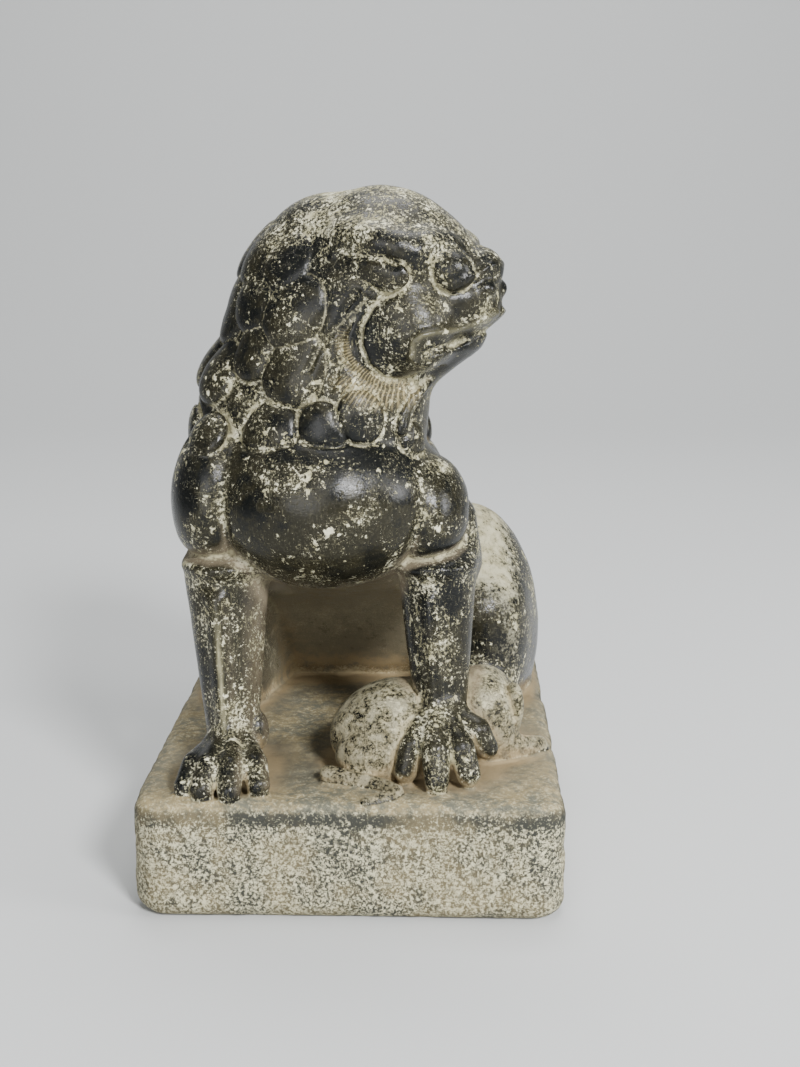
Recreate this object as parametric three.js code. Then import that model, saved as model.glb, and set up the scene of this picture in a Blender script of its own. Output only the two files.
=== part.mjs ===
import * as THREE from 'three';

// A seated stone lion on its slab, cut from one block. Millimetres, +Z up, the chest looks along -Y.
// The whole carving is one distance field: rounded masses are blended, creases are cut where they meet.
// Heights below are laid out from the slab's top at SLAB_TOP; RISE puts the underside on Z = 0.

const SLAB_TOP = 29;
const SLAB_BOTTOM = -2.5;
const RISE = -SLAB_BOTTOM;
const SLAB_HALF = [56.2, 74];
const SLAB_CORNER = 9;
const SLAB_EDGE = 4.5;

const NICHE_SLOPE = 0.72;

const HEAD_CENTRE = [6, -27, 155];
const HEAD_TURN = -20;
const NECK_AXIS = [-8, -22];

// One row each: degrees from the way the face looks, height, radius, how far it stands out,
// and how far it leans towards the face going up, in degrees from upright.
const CURLS = [
  [20, 119, 5.4, 1.6, 0], [49, 126.5, 6.8, 1.7, 40], [67, 122.5, 7.6, 2.2, 30],
  [96, 121, 9.2, 2.8, -5], [127, 120, 7.0, 2.0, -5], [153, 118, 8.0, 2.0, 10],
  [180, 122, 8.0, 2.0, 0], [87, 134.5, 8.2, 2.4, 45], [113, 139, 6.4, 2.0, 15],
  [137, 133, 7.6, 2.0, 15], [163, 136, 8.0, 2.0, 10], [88, 149, 8.4, 2.4, 45],
  [117, 152, 7.6, 1.8, 25], [146, 149, 8.0, 1.8, 20], [180, 151, 8.4, 1.8, 0],
  [96, 162, 7.0, 1.4, 45], [127, 164, 7.4, 1.3, 25], [160, 165, 7.6, 1.3, 10],
];
const STRAND_LENGTH = 1.5;

// The lowest curls hang over the chest as upright lenses; the rest swell out of the skin.
const HANGING_BELOW = 128;
const LENS_SWELL = 1.8;
const LENS_SINK = 0.6;
const LENS_DROP = 2;
const MANE_ABOVE = 96;

const GRID_STEP = 1.3;
const COARSE = 4;
const TARGET_TRIANGLES = 9400;
const FACE_WEIGHT = 4;
const EVENNESS = 0.004;
const TINY = 0.02;
const PASSES = 6;
const SNAP = 0.15;
const RELAX_ROUNDS = 3;
const RELAX_SHARE = 0.25;
const RELAX_ABOVE = SLAB_TOP + RISE + 1;

// Distances to simple masses.

function length3(x, y, z) {
  return Math.sqrt(x * x + y * y + z * z);
}

function ellipsoid(p, c, r) {
  const x = (p[0] - c[0]) / r[0];
  const y = (p[1] - c[1]) / r[1];
  const z = (p[2] - c[2]) / r[2];
  const k0 = length3(x, y, z);
  const k1 = Math.max(length3(x / r[0], y / r[1], z / r[2]), 1e-6);
  return k0 * (k0 - 1) / k1;
}

function egg(p, c, r, up, down) {
  const z = p[2] - c[2];
  const squashed = z > 0 ? z * down / up : z;
  return ellipsoid([p[0] - c[0], p[1] - c[1], squashed], [0, 0, 0], [r[0], r[1], down]);
}

function cone(p, a, b, ra, rb) {
  const ab = [b[0] - a[0], b[1] - a[1], b[2] - a[2]];
  const ap = [p[0] - a[0], p[1] - a[1], p[2] - a[2]];
  const along = (ap[0] * ab[0] + ap[1] * ab[1] + ap[2] * ab[2]) /
    (ab[0] * ab[0] + ab[1] * ab[1] + ab[2] * ab[2]);
  const t = Math.min(Math.max(along, 0), 1);
  return length3(ap[0] - t * ab[0], ap[1] - t * ab[1], ap[2] - t * ab[2]) - (ra + (rb - ra) * t);
}

function chain(p, points, radii) {
  let d = Infinity;
  for (let i = 0; i + 1 < points.length; i += 1) {
    d = Math.min(d, cone(p, points[i], points[i + 1], radii[i], radii[i + 1]));
  }
  return d;
}

function nearLine(x, z, points) {
  let best = Infinity;
  for (let i = 0; i + 1 < points.length; i += 1) {
    const [ax, az] = points[i];
    const bx = points[i + 1][0] - ax;
    const bz = points[i + 1][1] - az;
    const t = Math.min(Math.max(((x - ax) * bx + (z - az) * bz) / (bx * bx + bz * bz), 0), 1);
    best = Math.min(best, Math.hypot(x - ax - t * bx, z - az - t * bz));
  }
  return best;
}

function tilted(x, z, degrees) {
  const angle = THREE.MathUtils.degToRad(degrees);
  return [x * Math.cos(angle) + z * Math.sin(angle), z * Math.cos(angle) - x * Math.sin(angle)];
}

function clamp01(t) {
  return Math.min(Math.max(t, 0), 1);
}

// Ways of joining masses: blend fills the corner, seam leaves a cut line along it.

function blend(a, b, k) {
  const h = Math.max(k - Math.abs(a - b), 0) / k;
  return Math.min(a, b) - h * h * k * 0.25;
}

function overlap(a, b, k) {
  return -blend(-a, -b, k);
}

function valley(distance, width) {
  return Math.exp(-((distance / width) ** 2));
}

function seam(a, b, depth, width) {
  return Math.min(a, b) + depth * valley(a - b, width);
}

// Slab and trunk.

function slab(p) {
  const middle = (SLAB_TOP + SLAB_BOTTOM) / 2;
  const half = (SLAB_TOP - SLAB_BOTTOM) / 2;
  const x = Math.abs(p[0]) - (SLAB_HALF[0] - SLAB_CORNER);
  const y = Math.abs(p[1]) - (SLAB_HALF[1] - SLAB_CORNER);
  const plan = Math.hypot(Math.max(x, 0), Math.max(y, 0)) + Math.min(Math.max(x, y), 0) - SLAB_CORNER;
  const u = plan + SLAB_EDGE;
  const v = Math.abs(p[2] - middle) - half + SLAB_EDGE;
  return Math.min(Math.max(u, v), 0) + Math.hypot(Math.max(u, 0), Math.max(v, 0)) - SLAB_EDGE;
}

function chest(p) {
  let d = ellipsoid(p, [-8, -32, 101], [33, 30, 25]);
  d = blend(d, ellipsoid(p, [-31, -20, 104], [15.5, 20, 19]), 8);
  return blend(d, ellipsoid(p, [8, -18, 100], [17, 20, 18]), 8);
}

function loins(p) {
  const d = chain(p, [[-8, -12, 103], [0, 34, 72], [3, 42, 60]], [27, 29, 29]);
  return blend(d, ellipsoid(p, [-4, 50, 44], [26, 23, 34]), 8);
}

function trunk(p) {
  return blend(loins(p), chest(p), 8);
}

function haunch(p, side, x, footX) {
  let d = ellipsoid(p, [x - side * 5.5, 36, 46], [23.5, 31, 40]);
  d = blend(d, chain(p, [[footX, 14, 56], [footX, 13, 38]], [10, 8.5]), 12);
  d = blend(d, chain(p, [[footX, 18, 35], [footX, 0, 34]], [8, 7]), 5);
  for (const toe of [-1, 0, 1]) {
    const root = [footX - side + 3 * toe, -1, 34];
    const tip = [footX - side + 4.6 * toe, -8 + 1.5 * Math.abs(toe), 31.5];
    d = blend(d, chain(p, [root, tip], [3.6, 3]), 1);
  }
  return d;
}

function haunches(p) {
  return Math.min(haunch(p, 1, 37, 37), haunch(p, -1, -28, -38));
}

// The hollow between the legs: a sloping belly wall behind, a thigh on each side, the belly above.

function niche(p) {
  const wall = (p[1] - 37 + NICHE_SLOPE * (p[2] - SLAB_TOP)) * 0.81;
  const roof = (p[2] - 61 - 0.45 * (13 - p[1])) * 0.91;
  const left = (-31.6 + 0.25 * (p[1] - 5) - p[0]) * 0.97;
  const right = (p[0] - 26 + 0.25 * (p[1] - 5)) * 0.97;
  return overlap(overlap(wall, roof, 5), overlap(left, right, 1), 2.5);
}

function tail(p) {
  const line = [
    [3, 69.2, 34], [4, 69.1, 47], [2.5, 69, 59], [0, 67.2, 70], [-1, 62, 80],
    [1, 56.8, 88.5], [5.5, 52.5, 93.5], [10.5, 52.5, 91.5], [12.5, 55, 86],
  ];
  return chain(p, line, [4.4, 4.6, 4.7, 5, 5, 5, 4.9, 4.6, 4.2]);
}

// Front legs: a tapering shaft with a shin crest, a cuff at the top and four long toes.

function shaft(p, top, ankle, wide, narrow, crest) {
  const from = [top[0] + crest, top[1] - wide + 0.6, top[2] - 4];
  const to = [ankle[0] + crest * 0.5, ankle[1] - narrow - 0.1, ankle[2] - 2];
  return blend(cone(p, top, ankle, wide, narrow), cone(p, from, to, 2.1, 1.8), 3);
}

function toes(p, ankle, knuckles, tips, r) {
  let d = Infinity;
  for (let i = 0; i < tips.length; i += 1) {
    const k = knuckles[i];
    const t = tips[i];
    const middle = [
      k[0] * 0.45 + t[0] * 0.55,
      k[1] * 0.45 + t[1] * 0.55 - 0.5,
      k[2] * 0.45 + t[2] * 0.55 + 1.6,
    ];
    const toe = chain(p, [ankle, k, middle, t], [r + 1.5, r, r + 0.5, r - 0.1]);
    d = i === 0 ? toe : blend(d, toe, 1.2);
  }
  return d;
}

function leftForeleg(p) {
  const knuckles = [[-37.5, -54.5, 36.5], [-35, -56.5, 37.5], [-31.2, -57, 37.5], [-27, -54.5, 36.5]];
  const tips = [[-42, -66, 31], [-37.3, -69, 31.5], [-30.3, -70, 31.5], [-23.3, -66, 31.5]];
  let d = shaft(p, [-34, -38, 80], [-32.5, -45.5, 42], 11.6, 7.4, -1.5);
  d = blend(d, ellipsoid(p, [-34, -38.5, 84], [12.2, 12.8, 4.4]), 2);
  d = blend(d, cone(p, [-36, -30, 94], [-36.3, -27.5, 83], 10, 8.8), 6);
  d = blend(d, toes(p, [-32.5, -47, 39.5], knuckles, tips, 3.4), 2.5);
  return blend(d, ellipsoid(p, [-25.3, -46, 39], [3, 4, 5.5]), 1.5);
}

function rightForeleg(p) {
  const knuckles = [[18.3, -52, 43.5], [22, -54, 44], [26.3, -53.5, 43.5], [30, -50, 43.5]];
  const tips = [[14.5, -57.5, 32.5], [22.7, -63, 31.5], [31, -59.5, 32.5], [35.8, -51.5, 37]];
  let d = shaft(p, [22.5, -37, 80], [23.6, -42.5, 49], 10.6, 7.6, -2);
  d = blend(d, ellipsoid(p, [22.2, -37.5, 84], [11.2, 12, 4.4]), 2);
  d = blend(d, toes(p, [23.5, -43.5, 47], knuckles, tips, 3.5), 2.5);
  d = blend(d, ellipsoid(p, [16.2, -47, 46], [2.6, 3, 5]), 1.5);
  return blend(d, cone(p, [23.5, -29, 94], [26, -26, 82], 10, 9), 6);
}

function deltoids(p) {
  const left = egg(p, [-36.4, -35, 100], [12.6, 17.3], 22, 18);
  const right = egg(p, [19.2, -33, 96.5], [12.4, 17.3], 17, 15);
  return Math.min(left, right);
}

// The cub lying under the right forepaw.

const CUB_EAR_TURN = -38;

function cubEar(p) {
  const [x, y] = tilted(p[0] - 43.5, p[1] + 38, CUB_EAR_TURN);
  return ellipsoid([x, y, p[2] - 44], [0, 0, 0], [3.4, 2.6, 7]);
}

function cub(p) {
  let d = ellipsoid(p, [11, -42.5, 37], [17.5, 14.5, 14]);
  d = seam(d, ellipsoid(p, [6.5, -48, 34.5], [11.5, 10.8, 10]), 0.7, 1.2);
  d = blend(d, cone(p, [12, -38, 38], [34, -33, 40], 12.5, 12), 6);
  d = blend(d, ellipsoid(p, [35.5, -32, 40], [9.2, 12, 13.2]), 4);
  d = seam(d, cubEar(p), 0.6, 1);
  d = blend(d, chain(p, [[38, -38, 32.5], [46, -34, 30.8], [51, -30, 29.8]], [4.5, 3.6, 3]), 2);
  const line = [
    [-6, -56, 31], [3, -59, 30.4], [9, -61.5, 29.9], [12.5, -65, 29.8], [10.5, -68.5, 29.7], [4.5, -71, 29.3],
  ];
  return blend(d, chain(p, line, [2.4, 2.1, 1.9, 1.9, 1.8, 1.3]), 1);
}

// Neck and head. The head is laid out in its own frame: x along the muzzle, y across, z up.

function neck(p) {
  let d = ellipsoid(p, [-14, -21, 122], [29.5, 26, 30]);
  d = blend(d, cone(p, [-2, -30, 116], [2, -29, 145], 21.5, 20), 6);
  d = blend(d, ellipsoid(p, [-7, -22, 147.5], [26.2, 25, 29.5]), 6);
  return blend(d, ellipsoid(p, [-6.5, -22, 156], [20.5, 21, 23.6]), 4);
}

function headFrame(p) {
  const [along, across] = tilted(p[0] - HEAD_CENTRE[0], p[1] - HEAD_CENTRE[1], HEAD_TURN);
  return [along, Math.abs(across), p[2] - HEAD_CENTRE[2]];
}

function headMass(q) {
  let d = ellipsoid(q, [1, 0, 1.5], [27, 23, 26.5]);
  d = blend(d, ellipsoid(q, [15.5, 0, 8], [12.5, 14.5, 9.5]), 5);
  d = blend(d, ellipsoid(q, [21, 0, -1.5], [13.5, 13, 9.5]), 3);
  d = blend(d, ellipsoid(q, [28.5, 0, 6.3], [6.6, 7, 6.3]), 2.5);
  d = blend(d, cone(q, [22.5, 0, -8.5], [9, 0, -18], 8.5, 9), 3);
  return blend(d, ellipsoid(q, [13, 12, -8], [13, 10.5, 12.5]), 3);
}

// Lines on the side of the head, along the muzzle and up.
const LIP = [
  [18.4, -14.6], [18.9, -11], [20.9, -9.2], [24.5, -8.3], [27, -8.3], [29.3, -7.6], [32.6, -5.9], [34.5, -4.4],
];
const LOWER_LIP = [[18.4, -14.6], [19.3, -16.4], [21.6, -16.6], [24.2, -14.8], [27.5, -13]];
const MOUTH = [[21, -13.6], [24.5, -12], [27.8, -10.6], [31, -8.7], [33.8, -6.6]];
const CHEEK_EDGE = [
  [12.6, 1.4], [7.4, -2.1], [4.8, -6.9], [4.3, -11.9], [6, -17.2], [9.5, -20.8], [13.2, -21.6], [17, -20],
];
const BEARD_EDGE = [
  [4.1, 1.4], [0.7, -3.1], [-0.6, -8.1], [-0.3, -13.7], [2.3, -18.1], [6.4, -21.6], [10, -23.5], [14.5, -23.4],
];
const LOCK_FRONT = [[6.4, -0.1], [0.3, -9.1], [-0.2, -16.2], [-2.5, -23.2]];
const LOCK_BACK = [[6.4, -0.1], [0.1, -6.1], [-5.3, -12.1], [-7.8, -18.2]];
const NOSE_LINE = [[25.7, 1.8], [29.5, 4], [33.7, 7.8]];
const EAR_SLIT = [[1.5, 11], [6.2, 10.7], [10.5, 9.6], [14, 8]];
const EAR_FLAP = [[-2, 18.2, 16], [3.5, 18.8, 15], [8.8, 18.8, 13.6], [12.9, 18, 12.2], [17, 16.6, 10.5]];
const BROW = [[22.4, 4, 10.2], [22.3, 8.8, 12.2], [20, 12.6, 13], [14.5, 16, 11.8]];
const EAR_TILT = -14;

// The ear is a leaf with a slit, lying back under its own upper flap.

function ear(q) {
  const [x, z] = tilted(q[0] - 7.2, q[2] - 7, EAR_TILT);
  const leaf = ellipsoid([x, q[1] - 20.4, z], [0, 0, 0], [10.4, 2.8, 5.8]);
  return leaf + 1.1 * valley(nearLine(q[0], q[2], EAR_SLIT), 1);
}

function skull(q) {
  const grown = clamp01(q[1] / 3 + 0.4);
  let d = headMass(q);
  d = seam(d, ellipsoid(q, [23.4, 10.6, 6.2], [7.2, 5, 5.9]), 0.8, 0.9);
  d = blend(d, chain(q, BROW, [2, 3, 3.4, 3]), 3.5);
  d = blend(d, chain(q, EAR_FLAP, [1.6, 3, 3.6, 3.4, 2.6]), 6);
  d -= 1.6 * valley(nearLine(q[0], q[2], LIP), 1.25) * grown;
  d -= 1.1 * valley(nearLine(q[0], q[2], LOWER_LIP), 1.1) * grown;
  d += 0.9 * valley(nearLine(q[0], q[2], MOUTH), 0.8);
  d -= 0.8 * valley(nearLine(q[0], q[2], NOSE_LINE), 1.1);
  return blend(d, ellipsoid(q, [31.3, 4.6, 1.5], [3.6, 3, 3]), 1.2);
}

// Depth of the lines cut round the cheek and down the mane.

function sideLines(q) {
  const cheek = 1.5 * valley(nearLine(q[0], q[2], CHEEK_EDGE), 1);
  const beard = 0.8 * valley(nearLine(q[0], q[2], BEARD_EDGE), 1);
  const front = 0.7 * valley(nearLine(q[0], q[2], LOCK_FRONT), 1);
  const back = 0.7 * valley(nearLine(q[0], q[2], LOCK_BACK), 1);
  return Math.max(cheek, beard, front, back) * clamp01((q[1] - 8) / 4);
}

function throatLock(p) {
  const line = [[19.5, -37.6, 132.5], [15.8, -41.6, 129], [13.2, -43.8, 125], [12.8, -44.8, 121]];
  return chain(p, line, [1.8, 2.3, 2.6, 2.5]);
}

function head(p) {
  const q = headFrame(p);
  const d = seam(blend(neck(p), skull(q), 3) + sideLines(q), throatLock(p), 0.5, 0.8);
  return seam(d, ear(q), 0.7, 0.9);
}

// Curls of the mane: each is centred on the skin, found by stepping out from the neck's axis.

function maneBase(p) {
  const d = blend(blend(neck(p), headMass(headFrame(p)), 3), trunk(p), 1.5);
  return blend(d, deltoids(p), 1.5);
}

function skinPoint(degrees, height) {
  const angle = THREE.MathUtils.degToRad(HEAD_TURN + degrees);
  let inside = 0;
  let outside = 70;
  for (let i = 0; i < 30; i += 1) {
    const middle = (inside + outside) / 2;
    const p = [NECK_AXIS[0] + Math.cos(angle) * middle, NECK_AXIS[1] + Math.sin(angle) * middle, height];
    if (maneBase(p) < 0) {
      inside = middle;
    } else {
      outside = middle;
    }
  }
  return [NECK_AXIS[0] + Math.cos(angle) * inside, NECK_AXIS[1] + Math.sin(angle) * inside, height];
}

function between(from, to) {
  return [to[0] - from[0], to[1] - from[1], to[2] - from[2]];
}

function unit(v) {
  const size = length3(v[0], v[1], v[2]);
  return [v[0] / size, v[1] / size, v[2] / size];
}

function placeCurls() {
  const placed = [];
  for (const [degrees, height, radius, proud, lean] of CURLS) {
    const sides = degrees === 180 ? [1] : [1, -1];
    for (const side of sides) {
      const foot = skinPoint(side * degrees, height);
      const shift = Math.sin(THREE.MathUtils.degToRad(lean)) * 12;
      const crest = skinPoint(side * (degrees - shift), height + 6);
      placed.push({ foot, strand: unit(between(foot, crest)), radius, proud });
    }
  }
  return placed;
}

// A lens faces half way between level and square to the skin.

function placeLens(curl) {
  const foot = curl.foot;
  const here = maneBase(foot);
  const rise = unit([0, 1, 2].map((axis) => {
    const step = [...foot];
    step[axis] += 0.5;
    return maneBase(step) - here;
  }));
  const level = unit([foot[0] - NECK_AXIS[0], foot[1] - NECK_AXIS[1], 0]);
  const out = unit([level[0] + rise[0], level[1] + rise[1], rise[2]]);
  const side = unit([-out[1], out[0], 0]);
  const up = [-out[2] * side[1], out[2] * side[0], out[0] * side[1] - out[1] * side[0]];
  const middle = [
    foot[0] - out[0] * LENS_SINK, foot[1] - out[1] * LENS_SINK, foot[2] - out[2] * LENS_SINK - LENS_DROP,
  ];
  const radii = [LENS_SWELL * curl.proud, curl.radius, curl.radius * 1.2];
  return { middle, out, side, up, radii };
}

const MANE = placeCurls();
const SWELLING = MANE.filter((curl) => curl.foot[2] > HANGING_BELOW);
const LENSES = MANE.filter((curl) => curl.foot[2] <= HANGING_BELOW).map(placeLens);

function along(q, axis) {
  return q[0] * axis[0] + q[1] * axis[1] + q[2] * axis[2];
}

function hangingCurls(p) {
  let d = 30;
  for (const lens of LENSES) {
    const q = between(lens.middle, p);
    const local = [along(q, lens.out), along(q, lens.side), along(q, lens.up)];
    d = seam(d, ellipsoid(local, [0, 0, 0], lens.radii), 0.5, 0.9);
  }
  return d;
}

function curlHeight(p) {
  let nearest = Infinity;
  let height = 0;
  let lift = 0;
  for (const curl of SWELLING) {
    const q = between(curl.foot, p);
    const up = along(q, curl.strand);
    const cut = up > 0 ? up * (1 - 1 / STRAND_LENGTH) : 0;
    const [sx, sy, sz] = curl.strand;
    const reach = length3(q[0] - cut * sx, q[1] - cut * sy, q[2] - cut * sz) / curl.radius;
    if (reach < nearest) {
      nearest = reach;
      lift = up / curl.radius;
      height = curl.proud * (1 - 0.35 * Math.min(Math.max(lift, -1), 1));
    }
  }
  const dome = Math.max(1 - nearest * nearest, 0) ** 0.5;
  const groove = 0.6 * valley(nearest - 1.04, 0.14) * (1 - 0.75 * clamp01(lift * 1.3));
  return height * dome - groove;
}

function lion(p) {
  let d = overlap(blend(loins(p), haunches(p), 3), -niche(p), 2.5);
  d = seam(blend(d, chest(p), 8), tail(p), 0.9, 1.1);
  d = blend(d, Math.min(leftForeleg(p), rightForeleg(p)), 2);
  const shoulder = deltoids(p);
  const crease = 0.9 * clamp01((108 - p[2]) / 10) * valley(d - shoulder, 1.8);
  d = blend(d, shoulder, 1.5) + crease;
  if (p[2] > MANE_ABOVE) {
    d = blend(d, head(p), 1.5);
    d = seam(d - curlHeight(p), hangingCurls(p), 0.6, 0.9);
  }
  return seam(d, cub(p), 0.7, 1.1);
}

function carving(x, y, z) {
  const p = [x, y, z - RISE];
  return blend(lion(p), slab(p), 2);
}

// Sampling: a coarse pass finds the cells near the skin, a fine pass fills only those.

function sampleField() {
  const low = [-SLAB_HALF[0] - 4.1, -SLAB_HALF[1] - 4.1, -GRID_STEP * 1.5];
  const high = [SLAB_HALF[0] + 4, SLAB_HALF[1] + 4, 190];
  const block = GRID_STEP * COARSE;
  const blocks = low.map((value, axis) => Math.ceil((high[axis] - value) / block));
  const size = blocks.map((count) => count * COARSE);
  const values = new Float32Array(size[0] * size[1] * size[2]);
  for (let i = 0; i < blocks[0]; i += 1) {
    for (let j = 0; j < blocks[1]; j += 1) {
      for (let k = 0; k < blocks[2]; k += 1) {
        fillBlock(values, size, low, [i, j, k], block);
      }
    }
  }
  return { values, size, low };
}

function fillBlock(values, size, low, at, block) {
  const middle = at.map((index, axis) => low[axis] + (index + 0.5) * block);
  const rough = carving(middle[0], middle[1], middle[2]);
  const near = Math.abs(rough) < block * 1.35;
  for (let i = at[0] * COARSE; i < (at[0] + 1) * COARSE; i += 1) {
    for (let j = at[1] * COARSE; j < (at[1] + 1) * COARSE; j += 1) {
      for (let k = at[2] * COARSE; k < (at[2] + 1) * COARSE; k += 1) {
        const x = low[0] + i * GRID_STEP;
        const y = low[1] + j * GRID_STEP;
        const z = low[2] + k * GRID_STEP;
        const value = near ? carving(x, y, z) : rough;
        const least = SNAP * GRID_STEP;
        const pushed = value < 0 ? Math.min(value, -least) : Math.max(value, least);
        values[(i * size[1] + j) * size[2] + k] = pushed;
      }
    }
  }
}

// Skinning: every grid cell is split into six tetrahedra, which always gives a closed skin.

const SPLITS = [[1, 2, 4, 1], [2, 4, 1, 1], [4, 1, 2, 1], [2, 1, 4, -1], [1, 4, 2, -1], [4, 2, 1, -1]];
const ONE_IN = [[0, 1, 2, 3], [1, 0, 3, 2], [2, 0, 1, 3], [3, 0, 2, 1]];
const TWO_IN = [[0, 1, 2, 3], [0, 2, 3, 1], [0, 3, 1, 2], [1, 2, 0, 3], [1, 3, 2, 0], [2, 3, 0, 1]];

function skin(field) {
  const { values, size, low } = field;
  const strideX = size[1] * size[2];
  const strideY = size[2];
  const step = (bits) => (bits & 1 ? strideX : 0) + (bits & 2 ? strideY : 0) + (bits & 4 ? 1 : 0);
  const points = [];
  const triangles = [];
  const made = new Map();

  function crossing(base, fromBits, toBits) {
    const lowBits = Math.min(fromBits, toBits);
    const highBits = Math.max(fromBits, toBits);
    const start = base + step(lowBits);
    const end = base + step(highBits);
    const key = start * 8 + (highBits - lowBits);
    if (made.has(key)) {
      return made.get(key);
    }
    const t = values[start] / (values[start] - values[end]);
    const i = Math.floor(start / strideX);
    const j = Math.floor((start % strideX) / strideY);
    const k = start % strideY;
    const along = highBits - lowBits;
    const z = low[2] + (k + (along & 4 ? t : 0)) * GRID_STEP;
    made.set(key, points.length / 3);
    points.push(low[0] + (i + (along & 1 ? t : 0)) * GRID_STEP);
    points.push(low[1] + (j + (along & 2 ? t : 0)) * GRID_STEP);
    points.push(Math.abs(z) < 1e-3 ? 0 : z);
    return made.get(key);
  }

  function addTriangle(a, b, c, sign) {
    if (sign > 0) {
      triangles.push(a, b, c);
    } else {
      triangles.push(a, c, b);
    }
  }

  function cutTetrahedron(base, corners, sign) {
    const inside = corners.map((bits) => values[base + step(bits)] < 0);
    const count = inside.filter(Boolean).length;
    if (count === 1 || count === 3) {
      const order = ONE_IN[inside.indexOf(count === 1)];
      const [a, b, c, d] = order.map((index) => corners[index]);
      const turn = count === 1 ? sign : -sign;
      addTriangle(crossing(base, a, b), crossing(base, a, c), crossing(base, a, d), turn);
    }
    if (count === 2) {
      const order = TWO_IN.find((row) => inside[row[0]] && inside[row[1]]);
      const [a, b, c, d] = order.map((index) => corners[index]);
      const ac = crossing(base, a, c);
      const bd = crossing(base, b, d);
      addTriangle(ac, bd, crossing(base, b, c), sign);
      addTriangle(ac, crossing(base, a, d), bd, sign);
    }
  }

  for (let i = 0; i + 1 < size[0]; i += 1) {
    for (let j = 0; j + 1 < size[1]; j += 1) {
      for (let k = 0; k + 1 < size[2]; k += 1) {
        const base = i * strideX + j * strideY + k;
        let filled = 0;
        for (let bits = 0; bits < 8; bits += 1) {
          filled += values[base + step(bits)] < 0 ? 1 : 0;
        }
        if (filled > 0 && filled < 8) {
          for (const [first, second, , sign] of SPLITS) {
            cutTetrahedron(base, [0, first, first | second, 7], sign);
          }
        }
      }
    }
  }
  return { points: Float64Array.from(points), triangles: Int32Array.from(triangles) };
}

// Settling: points are moved onto the skin along the slope of the distance; the underside's stay flat.

function settle(points, v) {
  const x = points[v * 3];
  const y = points[v * 3 + 1];
  const z = points[v * 3 + 2];
  if (z === 0) {
    return;
  }
  const away = 0.15;
  const here = carving(x, y, z);
  const slope = [carving(x + away, y, z) - here, carving(x, y + away, z) - here, carving(x, y, z + away) - here];
  const steep = Math.max(length3(slope[0], slope[1], slope[2]), away * 0.5);
  const stride = Math.min(Math.max(here, -0.6), 0.6) * away / (steep * steep);
  points[v * 3] = x - slope[0] * stride;
  points[v * 3 + 1] = y - slope[1] * stride;
  points[v * 3 + 2] = Math.max(z - slope[2] * stride, 0);
}

function settleAll(points) {
  for (let v = 0; v < points.length / 3; v += 1) {
    settle(points, v);
  }
}

// Thinning: edges whose removal changes the shape least are closed up until the target is reached.

class Heap {
  constructor() {
    this.items = [];
  }

  push(item) {
    const items = this.items;
    let at = items.length;
    items.push(item);
    while (at > 0) {
      const parent = (at - 1) >> 1;
      if (items[parent].cost <= item.cost) {
        break;
      }
      items[at] = items[parent];
      at = parent;
    }
    items[at] = item;
  }

  pop() {
    const items = this.items;
    const top = items[0];
    const last = items.pop();
    const count = items.length;
    let at = 0;
    while (count > 0) {
      let child = at * 2 + 1;
      if (child >= count) {
        break;
      }
      if (child + 1 < count && items[child + 1].cost < items[child].cost) {
        child += 1;
      }
      if (items[child].cost >= last.cost) {
        break;
      }
      items[at] = items[child];
      at = child;
    }
    if (count > 0) {
      items[at] = last;
    }
    return top;
  }
}

function normalOf(points, a, b, c) {
  const ux = points[b * 3] - points[a * 3];
  const uy = points[b * 3 + 1] - points[a * 3 + 1];
  const uz = points[b * 3 + 2] - points[a * 3 + 2];
  const vx = points[c * 3] - points[a * 3];
  const vy = points[c * 3 + 1] - points[a * 3 + 1];
  const vz = points[c * 3 + 2] - points[a * 3 + 2];
  return [uy * vz - uz * vy, uz * vx - ux * vz, ux * vy - uy * vx];
}

function quadricsOf(points, triangles) {
  const quadrics = new Float64Array(points.length / 3 * 10);
  for (let f = 0; f < triangles.length; f += 3) {
    const corner = triangles[f];
    const n = normalOf(points, corner, triangles[f + 1], triangles[f + 2]);
    const size = length3(n[0], n[1], n[2]);
    if (size < 1e-9) {
      continue;
    }
    const [a, b, c] = n.map((value) => value / size);
    const d = -(a * points[corner * 3] + b * points[corner * 3 + 1] + c * points[corner * 3 + 2]);
    const weight = size * (points[corner * 3 + 2] > 112 + RISE ? FACE_WEIGHT : 1);
    const terms = [a * a, a * b, a * c, a * d, b * b, b * c, b * d, c * c, c * d, d * d];
    for (let v = 0; v < 3; v += 1) {
      for (let m = 0; m < 10; m += 1) {
        quadrics[triangles[f + v] * 10 + m] += terms[m] * weight;
      }
    }
  }
  return quadrics;
}

function quadricError(q, x, y, z) {
  return q[0] * x * x + 2 * q[1] * x * y + 2 * q[2] * x * z + 2 * q[3] * x + q[4] * y * y +
    2 * q[5] * y * z + 2 * q[6] * y + q[7] * z * z + 2 * q[8] * z + q[9];
}

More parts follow.
